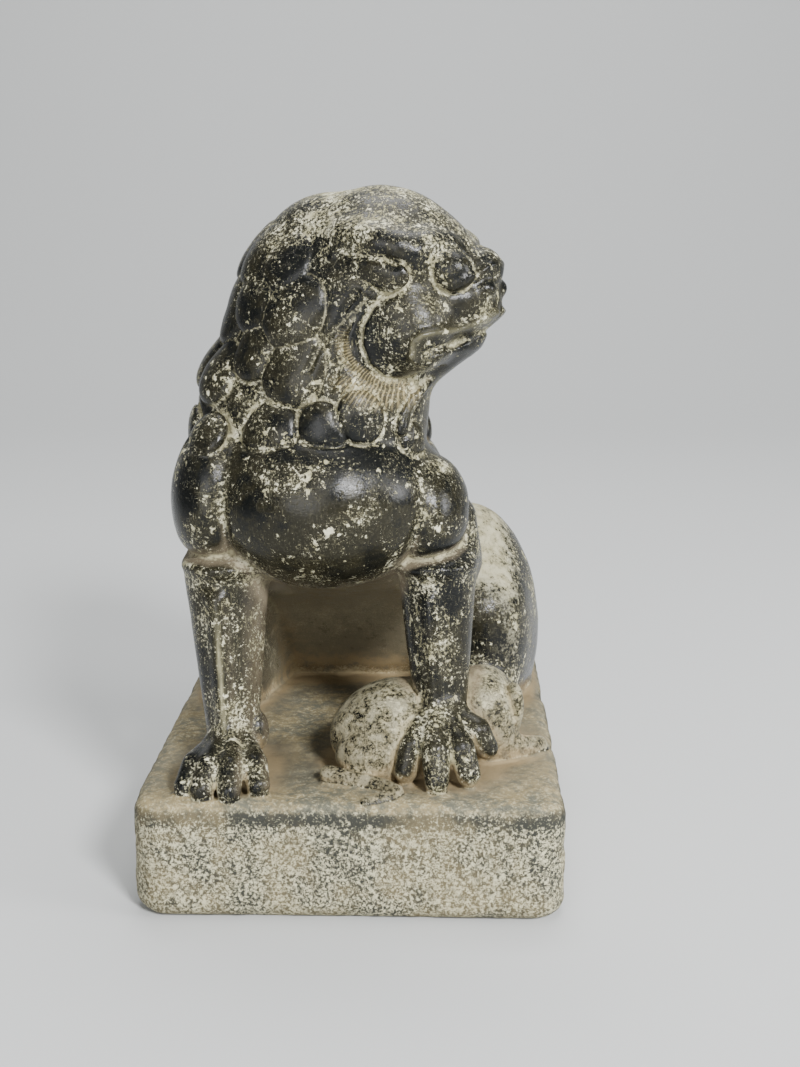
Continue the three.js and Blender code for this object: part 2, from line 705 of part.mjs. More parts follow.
function bestPoint(q, start, end) {
  const det = q[0] * (q[4] * q[7] - q[5] * q[5]) - q[1] * (q[1] * q[7] - q[5] * q[2]) +
    q[2] * (q[1] * q[5] - q[4] * q[2]);
  const middle = [0, 1, 2].map((axis) => (start[axis] + end[axis]) / 2);
  const choices = [start, end, middle];
  if (Math.abs(det) > 1e-6) {
    const x = -(q[3] * (q[4] * q[7] - q[5] * q[5]) - q[1] * (q[6] * q[7] - q[5] * q[8]) +
      q[2] * (q[6] * q[5] - q[4] * q[8])) / det;
    const y = -(q[0] * (q[6] * q[7] - q[8] * q[5]) - q[3] * (q[1] * q[7] - q[5] * q[2]) +
      q[2] * (q[1] * q[8] - q[6] * q[2])) / det;
    const z = -(q[0] * (q[4] * q[8] - q[5] * q[6]) - q[1] * (q[1] * q[8] - q[6] * q[2]) +
      q[3] * (q[1] * q[5] - q[4] * q[2])) / det;
    const reach = length3(end[0] - start[0], end[1] - start[1], end[2] - start[2]);
    if (length3(x - middle[0], y - middle[1], z - middle[2]) < reach * 1.5) {
      choices.push([x, y, z]);
    }
  }
  const grounded = start[2] === 0 || end[2] === 0;
  let best = null;
  for (const choice of choices) {
    const point = grounded ? [choice[0], choice[1], 0] : choice;
    const cost = quadricError(q, point[0], point[1], point[2]);
    if (best === null || cost < best.cost) {
      best = { cost, point };
    }
  }
  return best;
}

function thin(mesh, target) {
  const { points, triangles } = mesh;
  const quadrics = quadricsOf(points, triangles);
  const around = Array.from({ length: points.length / 3 }, () => []);
  const version = new Int32Array(around.length);
  const alive = new Uint8Array(triangles.length / 3).fill(1);
  const heap = new Heap();
  let remaining = alive.length;

  function neighboursOf(v) {
    const found = new Set();
    for (const f of around[v]) {
      for (let c = 0; c < 3; c += 1) {
        found.add(triangles[f * 3 + c]);
      }
    }
    found.delete(v);
    return found;
  }

  function pointOf(v) {
    return [points[v * 3], points[v * 3 + 1], points[v * 3 + 2]];
  }

  function queue(a, b) {
    const q = new Float64Array(10);
    for (let m = 0; m < 10; m += 1) {
      q[m] = quadrics[a * 10 + m] + quadrics[b * 10 + m];
    }
    const from = pointOf(a);
    const to = pointOf(b);
    const { cost, point } = bestPoint(q, from, to);
    const span = (to[0] - from[0]) ** 2 + (to[1] - from[1]) ** 2 + (to[2] - from[2]) ** 2;
    heap.push({ cost: cost + EVENNESS * span, point, a, b, stamp: version[a] + version[b] });
  }

  function turnsOver(v, other, point) {
    for (const f of around[v]) {
      const corners = [triangles[f * 3], triangles[f * 3 + 1], triangles[f * 3 + 2]];
      if (corners.includes(other)) {
        continue;
      }
      const before = normalOf(points, corners[0], corners[1], corners[2]);
      const kept = pointOf(v);
      points.set(point, v * 3);
      const after = normalOf(points, corners[0], corners[1], corners[2]);
      points.set(kept, v * 3);
      const dot = before[0] * after[0] + before[1] * after[1] + before[2] * after[2];
      const sizes = length3(...before) * length3(...after);
      const tiny = length3(...before) < TINY;
      if (length3(...after) < 1e-3 || (!tiny && dot < 0.3 * sizes)) {
        return true;
      }
    }
    return false;
  }

  function collapse(a, b, point) {
    for (const f of around[b]) {
      const start = f * 3;
      const shared = triangles[start] === a || triangles[start + 1] === a || triangles[start + 2] === a;
      if (shared) {
        alive[f] = 0;
        remaining -= 1;
        continue;
      }
      for (let c = 0; c < 3; c += 1) {
        if (triangles[start + c] === b) {
          triangles[start + c] = a;
        }
      }
      around[a].push(f);
    }
    for (const v of [a, ...neighboursOf(a)]) {
      around[v] = around[v].filter((f) => alive[f]);
    }
    around[b] = [];
    points.set(point, a * 3);
    for (let m = 0; m < 10; m += 1) {
      quadrics[a * 10 + m] += quadrics[b * 10 + m];
    }
    version[a] += 1;
    version[b] += 1e6;
    for (const other of neighboursOf(a)) {
      queue(a, other);
    }
  }

  function queueEveryEdge() {
    for (let f = 0; f < alive.length; f += 1) {
      for (let c = 0; c < 3 && alive[f]; c += 1) {
        const a = triangles[f * 3 + c];
        const b = triangles[f * 3 + (c + 1) % 3];
        if (a < b) {
          queue(a, b);
        }
      }
    }
  }

  function emptyQueue() {
    while (remaining > target && heap.items.length > 0) {
      const { point, a, b, stamp } = heap.pop();
      if (version[a] + version[b] !== stamp || around[a].length === 0 || around[b].length === 0) {
        continue;
      }
      const nearA = neighboursOf(a);
      const shared = [...neighboursOf(b)].filter((v) => nearA.has(v));
      if (shared.length !== 2 || turnsOver(a, b, point) || turnsOver(b, a, point)) {
        continue;
      }
      collapse(a, b, point);
    }
  }

  for (let f = 0; f < alive.length; f += 1) {
    for (let c = 0; c < 3; c += 1) {
      around[triangles[f * 3 + c]].push(f);
    }
  }
  for (let pass = 0; pass < PASSES && remaining > target; pass += 1) {
    heap.items.length = 0;
    queueEveryEdge();
    emptyQueue();
  }
  return pack(points, triangles, alive);
}

function pack(points, triangles, alive) {
  const renamed = new Map();
  const position = [];
  const index = [];
  for (let f = 0; f < alive.length; f += 1) {
    if (!alive[f]) {
      continue;
    }
    for (let c = 0; c < 3; c += 1) {
      const v = triangles[f * 3 + c];
      if (!renamed.has(v)) {
        renamed.set(v, position.length / 3);
        position.push(points[v * 3], points[v * 3 + 1], points[v * 3 + 2]);
      }
      index.push(renamed.get(v));
    }
  }
  return { points: Float64Array.from(position), triangles: Int32Array.from(index) };
}

// Evening out: each point moves a little towards its neighbours and is settled on the skin again.

function evenOut(mesh) {
  const { points, triangles } = mesh;
  const near = Array.from({ length: points.length / 3 }, () => new Set());
  for (let f = 0; f < triangles.length; f += 3) {
    for (let c = 0; c < 3; c += 1) {
      near[triangles[f + c]].add(triangles[f + (c + 1) % 3]);
      near[triangles[f + (c + 1) % 3]].add(triangles[f + c]);
    }
  }
  for (let round = 0; round < RELAX_ROUNDS; round += 1) {
    const before = points.slice();
    for (let v = 0; v < near.length; v += 1) {
      for (let axis = 0; axis < 3 && before[v * 3 + 2] > RELAX_ABOVE; axis += 1) {
        let sum = 0;
        for (const other of near[v]) {
          sum += before[other * 3 + axis];
        }
        const mean = sum / near[v].size;
        points[v * 3 + axis] += (mean - before[v * 3 + axis]) * RELAX_SHARE;
      }
    }
    for (let v = 0; v < near.length; v += 1) {
      if (before[v * 3 + 2] > RELAX_ABOVE) {
        settle(points, v);
      }
    }
  }
  return mesh;
}

function toGeometry(mesh) {
  const geometry = new THREE.BufferGeometry();
  geometry.setAttribute('position', new THREE.Float32BufferAttribute(mesh.points, 3));
  geometry.setIndex(Array.from(mesh.triangles));
  geometry.computeVertexNormals();
  return geometry;
}

function carve() {
  const fine = skin(sampleField());
  settleAll(fine.points);
  return toGeometry(evenOut(thin(fine, TARGET_TRIANGLES)));
}

const stone = new THREE.MeshStandardMaterial({ name: 'stone', color: '#5b564a', roughness: 0.55, metalness: 0 });
const lionMesh = new THREE.Mesh(carve(), stone);
lionMesh.name = 'seated_lion';

const model = new THREE.Group();
model.name = 'stone_lion';
model.add(lionMesh);

export default model;
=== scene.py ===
"""A seated stone lion on its slab, carved from one block: its skin, its stone and its studio stage."""

import math

import bpy
import numpy as np
from bpy.props import FloatProperty, FloatVectorProperty, IntProperty, PointerProperty
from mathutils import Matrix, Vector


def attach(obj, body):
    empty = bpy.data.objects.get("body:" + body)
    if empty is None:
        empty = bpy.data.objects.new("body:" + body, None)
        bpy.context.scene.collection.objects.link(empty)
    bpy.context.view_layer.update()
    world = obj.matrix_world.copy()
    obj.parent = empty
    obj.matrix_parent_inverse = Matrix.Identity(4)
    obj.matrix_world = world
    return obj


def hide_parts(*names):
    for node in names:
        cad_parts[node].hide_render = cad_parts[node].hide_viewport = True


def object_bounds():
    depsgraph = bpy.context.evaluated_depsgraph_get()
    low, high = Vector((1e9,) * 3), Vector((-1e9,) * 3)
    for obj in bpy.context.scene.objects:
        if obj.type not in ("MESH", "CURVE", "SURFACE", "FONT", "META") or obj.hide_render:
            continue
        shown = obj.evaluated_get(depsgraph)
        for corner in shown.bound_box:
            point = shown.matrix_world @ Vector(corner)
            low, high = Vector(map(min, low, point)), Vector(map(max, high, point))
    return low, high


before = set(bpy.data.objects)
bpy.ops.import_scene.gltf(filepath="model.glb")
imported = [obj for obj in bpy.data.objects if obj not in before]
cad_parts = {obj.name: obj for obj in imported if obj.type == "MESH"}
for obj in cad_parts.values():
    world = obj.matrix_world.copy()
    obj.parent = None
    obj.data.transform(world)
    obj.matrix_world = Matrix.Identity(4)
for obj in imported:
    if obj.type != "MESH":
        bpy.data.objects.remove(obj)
CAD_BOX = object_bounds()
SLAB_SIZE = CAD_BOX[1] - CAD_BOX[0]

bl_info = {
    "name": "Stone Lion",
    "version": (1, 0, 0),
    "blender": (4, 5, 0),
    "location": "3D View > Sidebar > Stone Lion",
    "description": "Carves a seated stone lion, gives it its worn stone finish and sets its studio stage",
    "category": "Add Mesh",
}

# The carving is laid out in millimetres, with the slab's underside a little under zero; RISE lifts
# it onto the floor.
SLAB_TOP = 29.0
SLAB_BOTTOM = -2.5
RISE = -SLAB_BOTTOM
MIDDLE_Z = (SLAB_TOP + SLAB_BOTTOM) / 2
SLAB_CORNER = 9.0
SLAB_EDGE = 4.5
FAR = 30.0

# Heights and places past which a part of the form has no effect and isn't worked out.
CUB_BELOW = 62
HEAD_ABOVE = 96
FORELEGS_BEFORE = -8

HEAD_CENTRE = (6.0, -27.0, 155.0)
HEAD_TURN = -20.0
NECK_AXIS = (-8.0, -22.0)

# One row each: degrees from the way the face looks, height, radius, how far it stands out,
# and how far it leans towards the face going up, in degrees from upright.
CURLS = (
    (20, 119, 5.4, 1.6, 0), (49, 126.5, 6.8, 1.7, 40), (67, 122.5, 7.6, 2.2, 30),
    (96, 121, 9.2, 2.8, -5), (127, 120, 7.0, 2.0, -5), (153, 118, 8.0, 2.0, 10),
    (180, 122, 8.0, 2.0, 0), (87, 134.5, 8.2, 2.4, 45), (113, 139, 6.4, 2.0, 15),
    (137, 133, 7.6, 2.0, 15), (163, 136, 8.0, 2.0, 10), (88, 149, 8.4, 2.4, 45),
    (117, 152, 7.6, 1.8, 25), (146, 149, 8.0, 1.8, 20), (180, 151, 8.4, 1.8, 0),
    (96, 162, 7.0, 1.4, 45), (127, 164, 7.4, 1.3, 25), (160, 165, 7.6, 1.3, 10),
)
STRAND_LENGTH = 1.5

# The lowest curls hang over the chest as upright lenses; the rest swell out of the skin.
HANGING_BELOW = 128
LENS_SWELL = 1.8
LENS_SINK = 0.6
LENS_DROP = 2.0

# Lines on the side of the head, along the muzzle and up.
LIP = ((18.4, -14.6), (18.9, -11), (20.9, -9.2), (24.5, -8.3), (27, -8.3), (29.3, -7.6),
       (32.6, -5.9), (34.5, -4.4))
LOWER_LIP = ((18.4, -14.6), (19.3, -16.4), (21.6, -16.6), (24.2, -14.8), (27.5, -13))
MOUTH = ((21, -13.6), (24.5, -12), (27.8, -10.6), (31, -8.7), (33.8, -6.6))
CHEEK_EDGE = ((12.6, 1.4), (7.4, -2.1), (4.8, -6.9), (4.3, -11.9), (6, -17.2), (9.5, -20.8),
              (13.2, -21.6), (17, -20))
BEARD_EDGE = ((4.1, 1.4), (0.7, -3.1), (-0.6, -8.1), (-0.3, -13.7), (2.3, -18.1), (6.4, -21.6),
              (10, -23.5), (14.5, -23.4))
LOCK_FRONT = ((6.4, -0.1), (0.3, -9.1), (-0.2, -16.2), (-2.5, -23.2))
LOCK_BACK = ((6.4, -0.1), (0.1, -6.1), (-5.3, -12.1), (-7.8, -18.2))
NOSE_LINE = ((25.7, 1.8), (29.5, 4), (33.7, 7.8))
EAR_SLIT = ((1.5, 11), (6.2, 10.7), (10.5, 9.6), (14, 8))

# Lines with the depth and width of their cut, and lines with the strength and width of their earth.
CUT_LINES = ((CHEEK_EDGE, 1.5, 0.9), (BEARD_EDGE, 0.8, 0.8),
             (LOCK_FRONT, 0.7, 0.9), (LOCK_BACK, 0.7, 0.9))
FILLED_LINES = ((CHEEK_EDGE, 1, 0.6), (BEARD_EDGE, 0.6, 0.5), (LOCK_FRONT, 0.9, 0.55),
                (LOCK_BACK, 0.9, 0.55), (MOUTH, 0.8, 0.4), (EAR_SLIT, 0.7, 0.35))

# Forms on the side of the head: along the muzzle, out and up.
EAR_FLAP = ((-2, 18.2, 16), (3.5, 18.8, 15), (8.8, 18.8, 13.6), (12.9, 18, 12.2), (17, 16.6, 10.5))
BROW = ((22.4, 4, 10.2), (22.3, 8.8, 12.2), (20, 12.6, 13), (14.5, 16, 11.8))
EYE = (23.4, 10.6, 6.2)
EAR_TILT = -14.0
CHEEK_CENTRE = (12.0, -10.0)

# The painted highlight down the left shin's crest: its x and height at the top, and its lean inwards
# going down.
SHIN_TOP = (-35.5, 76.0)
SHIN_LEAN = 2.2 / 36

LOW_MARGIN = 4.1
HIGH_MARGIN = 4.0
HIGHEST = 190.0

# Samples to the side of a coarse block, and how near the skin a block is sampled in full, in blocks.
COARSE = 4
BAND_REACH = 1.35

# The stage, in metres: where the floor starts to rise behind the piece, its radius and its half width.
SWEEP_START = 0.8
SWEEP_RADIUS = 1.2
SWEEP_REACH = 5.0
SWEEP_HEIGHT = 6.0
FLOOR_ROUGHNESS = 0.9
ROOM_COLOUR = (0.75, 0.77, 0.77, 1)
NEAREST_SHOWN = 0.01

# Soft lights: where each one hangs, what it looks at and how wide it is.
LAMPS = (
    ("key", (0.5, -1.0, 0.75), (0, 0, 0.09), 0.26),
    ("fill", (-0.35, -1.2, 0.35), (0, 0, 0.09), 0.8),
    ("side", (1.1, -0.35, 0.45), (0, 0, 0.09), 0.5),
    ("top", (0.05, 0.15, 0.95), (0, 0, 0.05), 0.7),
    ("wall", (0, 0.9, 1.9), (0, 1.9, 0.6), 1.2),
)


# Distances to simple masses. Every p is an array of points, one row each.

def row(*values):
    return np.array(values, np.float32)


def length_of(vectors):
    return np.sqrt((vectors * vectors).sum(-1))


def ellipsoid(p, centre, radii):
    q = (p - row(*centre)) / row(*radii)
    near = length_of(q)
    slope = np.maximum(length_of(q / row(*radii)), 1e-6)
    return near * (near - 1) / slope


def egg(p, centre, across, up, down):
    q = p - row(*centre)
    height = np.where(q[:, 2] > 0, q[:, 2] * (down / up), q[:, 2])
    return ellipsoid(np.stack([q[:, 0], q[:, 1], height], -1), (0, 0, 0), (across[0], across[1], down))


def cone(p, start, end, start_radius, end_radius):
    a = row(*start)
    along = row(*end) - a
    t = np.clip(((p - a) @ along) / (along @ along), 0, 1)
    return length_of(p - a - t[:, None] * along) - (start_radius + (end_radius - start_radius) * t)


def chain(p, points, radii):
    links = range(len(points) - 1)
    return np.minimum.reduce([cone(p, points[i], points[i + 1], radii[i], radii[i + 1]) for i in links])


def turned(p, degrees):
    angle = math.radians(degrees)
    x = p[:, 0] * math.cos(angle) + p[:, 1] * math.sin(angle)
    y = p[:, 1] * math.cos(angle) - p[:, 0] * math.sin(angle)
    return np.stack([x, y, p[:, 2]], -1)


def tilted(p, degrees):
    angle = math.radians(degrees)
    x = p[:, 0] * math.cos(angle) + p[:, 2] * math.sin(angle)
    z = p[:, 2] * math.cos(angle) - p[:, 0] * math.sin(angle)
    return np.stack([x, p[:, 1], z], -1)


def near_line(side, points):
    nearest = np.full(len(side), 1e3, np.float32)
    for start, end in zip(points[:-1], points[1:]):
        a = row(*start)
        along = row(*end) - a
        t = np.clip(((side - a) @ along) / (along @ along), 0, 1)
        nearest = np.minimum(nearest, length_of(side - a - t[:, None] * along))
    return nearest


def clamp01(values):
    return np.clip(values, 0, 1)


def ramp(values, start, end):
    """0 up to the start, 1 from the end on; the end may be the lower number."""
    return clamp01((values - start) / (end - start))


# Ways of joining masses: blend fills the corner, seam leaves a cut line along it.

def blend(a, b, reach):
    h = np.maximum(reach - np.abs(a - b), 0) / reach
    return np.minimum(a, b) - h * h * reach * 0.25


def overlap(a, b, reach):
    return -blend(-a, -b, reach)


def valley(distance, width):
    return np.exp(-((distance / width) ** 2))


def strongest(side, lines):
    """The strength of the strongest line at each point; a line is a path, a strength and a width."""
    shown = [strength * valley(near_line(side, path), width) for path, strength, width in lines]
    return np.maximum.reduce(shown)


def seam(a, b, depth, width):
    return np.minimum(a, b) + depth * valley(a - b, width)


def only_where(mask, p, shape):
    """The distance to a shape, worked out only where the mask is true."""
    distance = np.full(len(p), FAR, np.float32)
    if mask.any():
        distance[mask] = shape(p[mask])
    return distance


class HandNoise:
    """Smooth random unevenness from a seeded lattice."""

    def __init__(self, seed):
        self.lattice = np.random.default_rng(seed).random((32, 32, 32), np.float32)

    def at(self, p, size):
        q = p / size + 1000.0
        base = np.floor(q).astype(np.int64)
        part = (q - base).astype(np.float32)
        part = part * part * (3 - 2 * part)
        total = np.zeros(len(p), np.float32)
        for corner in range(8):
            step = np.array([corner & 1, corner >> 1 & 1, corner >> 2 & 1])
            share = np.prod(np.where(step == 1, part, 1 - part), axis=-1)
            cell = (base + step) % 32
            total += share * self.lattice[cell[:, 0], cell[:, 1], cell[:, 2]]
        return total


class Carving:
    """The whole lion and slab as one distance field, in millimetres."""

    def __init__(self, sizes):
        self.slab_half = (sizes.slab_width * 500, sizes.slab_length * 500)
        self.niche_slope = sizes.niche_slope
        self.curl_relief = sizes.curl_relief
        self.tool_marks = sizes.tool_marks * 1000
        self.slab_wear = sizes.slab_wear * 1000
        self.noise = HandNoise(7)
        self.curls = self.place_curls()
        self.lenses = self.place_lenses()

    def slab(self, p):
        x = np.abs(p[:, 0]) - (self.slab_half[0] - SLAB_CORNER)
        y = np.abs(p[:, 1]) - (self.slab_half[1] - SLAB_CORNER)
        corner = np.hypot(np.maximum(x, 0), np.maximum(y, 0))
        plan = corner + np.minimum(np.maximum(x, y), 0) - SLAB_CORNER + SLAB_EDGE
        rise = np.abs(p[:, 2] - MIDDLE_Z) - (SLAB_TOP - SLAB_BOTTOM) / 2 + SLAB_EDGE
        outside = np.hypot(np.maximum(plan, 0), np.maximum(rise, 0))
        return np.minimum(np.maximum(plan, rise), 0) + outside - SLAB_EDGE

    def chest(self, p):
        d = ellipsoid(p, (-8, -32, 101), (33, 30, 25))
        d = blend(d, ellipsoid(p, (-31, -20, 104), (15.5, 20, 19)), 8)
        return blend(d, ellipsoid(p, (8, -18, 100), (17, 20, 18)), 8)

    def loins(self, p):
        d = chain(p, ((-8, -12, 103), (0, 34, 72), (3, 42, 60)), (27, 29, 29))
        return blend(d, ellipsoid(p, (-4, 50, 44), (26, 23, 34)), 8)

    def haunch(self, p, side, x, foot_x):
        d = ellipsoid(p, (x - side * 5.5, 36, 46), (23.5, 31, 40))
        d = blend(d, chain(p, ((foot_x, 14, 56), (foot_x, 13, 38)), (10, 8.5)), 12)
        d = blend(d, chain(p, ((foot_x, 18, 35), (foot_x, 0, 34)), (8, 7)), 5)
        for toe in (-1, 0, 1):
            root = (foot_x - side + 3 * toe, -1, 34)
            tip = (foot_x - side + 4.6 * toe, -8 + 1.5 * abs(toe), 31.5)
            d = blend(d, chain(p, (root, tip), (3.6, 3)), 1)
        return d

    def haunches(self, p):
        return np.minimum(self.haunch(p, 1, 37, 37), self.haunch(p, -1, -28, -38))

    def niche(self, p):
        """The hollow between the legs: a sloping belly wall, a thigh on each side, the belly above."""
        wall = (p[:, 1] - 37 + self.niche_slope * (p[:, 2] - SLAB_TOP)) * 0.81
        roof = (p[:, 2] - 61 - 0.45 * (13 - p[:, 1])) * 0.91
        left = (-31.6 + 0.25 * (p[:, 1] - 5) - p[:, 0]) * 0.97
        right = (p[:, 0] - 26 + 0.25 * (p[:, 1] - 5)) * 0.97
        return overlap(overlap(wall, roof, 5), overlap(left, right, 1), 2.5)

    def tail(self, p):
        line = ((3, 69.2, 34), (4, 69.1, 47), (2.5, 69, 59), (0, 67.2, 70), (-1, 62, 80),
                (1, 56.8, 88.5), (5.5, 52.5, 93.5), (10.5, 52.5, 91.5), (12.5, 55, 86))
        return chain(p, line, (4.4, 4.6, 4.7, 5, 5, 5, 4.9, 4.6, 4.2))

    def shaft(self, p, top, ankle, wide, narrow, crest):
        start = (top[0] + crest, top[1] - wide + 0.6, top[2] - 4)
        end = (ankle[0] + crest * 0.5, ankle[1] - narrow - 0.1, ankle[2] - 2)
        return blend(cone(p, top, ankle, wide, narrow), cone(p, start, end, 2.1, 1.8), 3)

    def toes(self, p, ankle, knuckles, tips, radius):
        d = None
        for knuckle, tip in zip(knuckles, tips):
            middle = np.array(knuckle) * 0.45 + np.array(tip) * 0.55 + np.array((0, -0.5, 1.6))
            radii = (radius + 1.5, radius, radius + 0.5, radius - 0.1)
            toe = chain(p, (ankle, knuckle, tuple(middle), tip), radii)
            d = toe if d is None else blend(d, toe, 1.2)
        return d

    def left_foreleg(self, p):
        knuckles = ((-37.5, -54.5, 36.5), (-35, -56.5, 37.5), (-31.2, -57, 37.5), (-27, -54.5, 36.5))
        tips = ((-42, -66, 31), (-37.3, -69, 31.5), (-30.3, -70, 31.5), (-23.3, -66, 31.5))
        d = self.shaft(p, (-34, -38, 80), (-32.5, -45.5, 42), 11.6, 7.4, -1.5)
        d = blend(d, ellipsoid(p, (-34, -38.5, 84), (12.2, 12.8, 4.4)), 2)
        d = blend(d, cone(p, (-36, -30, 94), (-36.3, -27.5, 83), 10, 8.8), 6)
        d = blend(d, self.toes(p, (-32.5, -47, 39.5), knuckles, tips, 3.4), 2.5)
        return blend(d, ellipsoid(p, (-25.3, -46, 39), (3, 4, 5.5)), 1.5)

    def right_foreleg(self, p):
        knuckles = ((18.3, -52, 43.5), (22, -54, 44), (26.3, -53.5, 43.5), (30, -50, 43.5))
        tips = ((14.5, -57.5, 32.5), (22.7, -63, 31.5), (31, -59.5, 32.5), (35.8, -51.5, 37))
        d = self.shaft(p, (22.5, -37, 80), (23.6, -42.5, 49), 10.6, 7.6, -2)
        d = blend(d, ellipsoid(p, (22.2, -37.5, 84), (11.2, 12, 4.4)), 2)
        d = blend(d, self.toes(p, (23.5, -43.5, 47), knuckles, tips, 3.5), 2.5)
        d = blend(d, ellipsoid(p, (16.2, -47, 46), (2.6, 3, 5)), 1.5)
        return blend(d, cone(p, (23.5, -29, 94), (26, -26, 82), 10, 9), 6)

    def forelegs(self, p):
        return np.minimum(self.left_foreleg(p), self.right_foreleg(p))

    def deltoids(self, p):
        left = egg(p, (-36.4, -35, 100), (12.6, 17.3), 22, 18)
        right = egg(p, (19.2, -33, 96.5), (12.4, 17.3), 17, 15)
        return np.minimum(left, right)

    def cub(self, p):
        d = ellipsoid(p, (11, -42.5, 37), (17.5, 14.5, 14))
        d = seam(d, ellipsoid(p, (6.5, -48, 34.5), (11.5, 10.8, 10)), 0.7, 1.0)
        d = blend(d, cone(p, (12, -38, 38), (34, -33, 40), 12.5, 12), 6)
        d = blend(d, ellipsoid(p, (35.5, -32, 40), (9.2, 12, 13.2)), 4)
        ear = turned(p - row(43.5, -38, 44), -38)
        d = seam(d, ellipsoid(ear, (0, 0, 0), (3.4, 2.6, 7)), 0.6, 0.8)
        d = blend(d, chain(p, ((38, -38, 32.5), (46, -34, 30.8), (51, -30, 29.8)), (4.5, 3.6, 3)), 2)
        line = ((-6, -56, 31), (3, -59, 30.4), (9, -61.5, 29.9), (12.5, -65, 29.8), (10.5, -68.5, 29.7),
                (4.5, -71, 29.3))
        return blend(d, chain(p, line, (2.4, 2.1, 1.9, 1.9, 1.8, 1.3)), 1)

    def neck(self, p):
        d = ellipsoid(p, (-14, -21, 122), (29.5, 26, 30))
        d = blend(d, cone(p, (-2, -30, 116), (2, -29, 145), 21.5, 20), 6)
        d = blend(d, ellipsoid(p, (-7, -22, 147.5), (26.2, 25, 29.5)), 6)
        return blend(d, ellipsoid(p, (-6.5, -22, 156.6), (20.5, 21, 24.6)), 4)

    def head_frame(self, p):
        """The head's own axes: x along the muzzle, y across and mirrored, z up."""
        q = turned(p - row(*HEAD_CENTRE), HEAD_TURN)
        return np.stack([q[:, 0], np.abs(q[:, 1]), q[:, 2]], -1)

    def head_mass(self, q):
        d = ellipsoid(q, (1, 0, 1.5), (27, 23, 26.5))
        d = blend(d, ellipsoid(q, (15.5, 0, 8), (12.5, 14.5, 9.5)), 5)
        d = blend(d, ellipsoid(q, (21, 0, -1.5), (13.5, 13, 9.5)), 3)
        d = blend(d, ellipsoid(q, (28.5, 0, 6.3), (6.6, 7, 6.3)), 2.5)
        d = blend(d, cone(q, (22.5, 0, -8.5), (9, 0, -18), 8.5, 9), 3)
        return blend(d, ellipsoid(q, (13, 12, -8), (13, 10.5, 12.5)), 3)

    def ear(self, q):
        """A leaf with a slit, lying back under its own upper flap."""
        local = tilted(q - row(7.2, 20.4, 7), EAR_TILT)
        leaf = ellipsoid(local, (0, 0, 0), (10.4, 2.8, 5.8))
        return leaf + 1.1 * valley(near_line(q[:, ::2], EAR_SLIT), 0.8)

    def skull(self, p):
        q = self.head_frame(p)
        side = q[:, ::2]
        d = self.head_mass(q)
        d = seam(d, ellipsoid(q, EYE, (7.2, 5, 5.9)), 0.8, 0.55)
        d = blend(d, chain(q, BROW, (2, 3, 3.4, 3)), 3.5)
        d = blend(d, chain(q, EAR_FLAP, (1.6, 3, 3.6, 3.4, 2.6)), 6)
        d -= 1.6 * valley(near_line(side, LIP), 1.25) * clamp01(q[:, 1] / 3 + 0.4)
        d -= 1.1 * valley(near_line(side, LOWER_LIP), 1.1) * clamp01(q[:, 1] / 3 + 0.4)
        d += 0.9 * valley(near_line(side, MOUTH), 0.7)
        d -= 0.8 * valley(near_line(side, NOSE_LINE), 1.0)
        return blend(d, ellipsoid(q, (31.3, 4.6, 1.5), (3.6, 3, 3)), 1.2)

    def side_lines(self, p):
        """Depth of the lines cut on the side of the head, round the cheek and down the mane."""
        q = self.head_frame(p)
        return strongest(q[:, ::2], CUT_LINES) * ramp(q[:, 1], 8, 12)

    def throat_lock(self, p):
        line = ((19.5, -37.6, 132.5), (15.8, -41.6, 129), (13.2, -43.8, 125), (12.8, -44.8, 121))
        return chain(p, line, (1.8, 2.3, 2.6, 2.5))

    def head(self, p):
        d = blend(self.neck(p), self.skull(p), 3) + self.side_lines(p)
        d = seam(d, self.throat_lock(p), 0.5, 0.6)
        return seam(d, self.ear(self.head_frame(p)), 0.7, 0.7)

    def mane_base(self, p):
        d = blend(self.neck(p), self.head_mass(self.head_frame(p)), 3)
        d = blend(d, blend(self.loins(p), self.chest(p), 8), 1.5)
        return blend(d, self.deltoids(p), 1.5)

    def skin_point(self, degrees, height):
        """Where a level line out of the neck's axis leaves the mane."""
        angle = math.radians(HEAD_TURN + degrees)
        reach = np.linspace(0, 70, 1401, dtype=np.float32)
        x = NECK_AXIS[0] + math.cos(angle) * reach
        y = NECK_AXIS[1] + math.sin(angle) * reach
        line = np.stack([x, y, np.full_like(reach, height)], -1)
        return line[np.argmax(self.mane_base(line) > 0)]

    def place_curls(self):
        placed = []
        for degrees, height, radius, proud, lean in CURLS:
            for side in (1,) if degrees == 180 else (1, -1):
                foot = self.skin_point(side * degrees, height)
                crest = self.skin_point(side * (degrees - math.sin(math.radians(lean)) * 12), height + 6)
                strand = (crest - foot) / np.linalg.norm(crest - foot)
                placed.append((foot, strand, radius, proud))
        return placed

    def place_lenses(self):
        """The lowest curls' middles and axes: half way between level and square to the skin."""
        placed = []
        for foot, _, radius, proud in self.curls:
            if foot[2] > HANGING_BELOW:
                continue
            steps = np.eye(3, dtype=np.float32) * 0.5
            rise = row(*[self.mane_base((foot + step)[None])[0] for step in steps])
            level = row(foot[0] - NECK_AXIS[0], foot[1] - NECK_AXIS[1], 0)
            out = level / np.linalg.norm(level) + rise / np.linalg.norm(rise)
            out = out / np.linalg.norm(out)
            side = np.cross(row(0, 0, 1), out)
            side = side / np.linalg.norm(side)
            middle = foot - out * LENS_SINK - row(0, 0, LENS_DROP)
            axes = np.stack([out, side, np.cross(out, side)], -1).astype(np.float32)
            placed.append((middle, axes, (LENS_SWELL * proud, radius, radius * 1.2)))
        return placed

    def hanging_curls(self, p):
        d = np.full(len(p), FAR, np.float32)
        for middle, axes, radii in self.lenses:
            d = seam(d, ellipsoid((p - middle) @ axes, (0, 0, 0), radii), 0.5, 0.6)
        return d

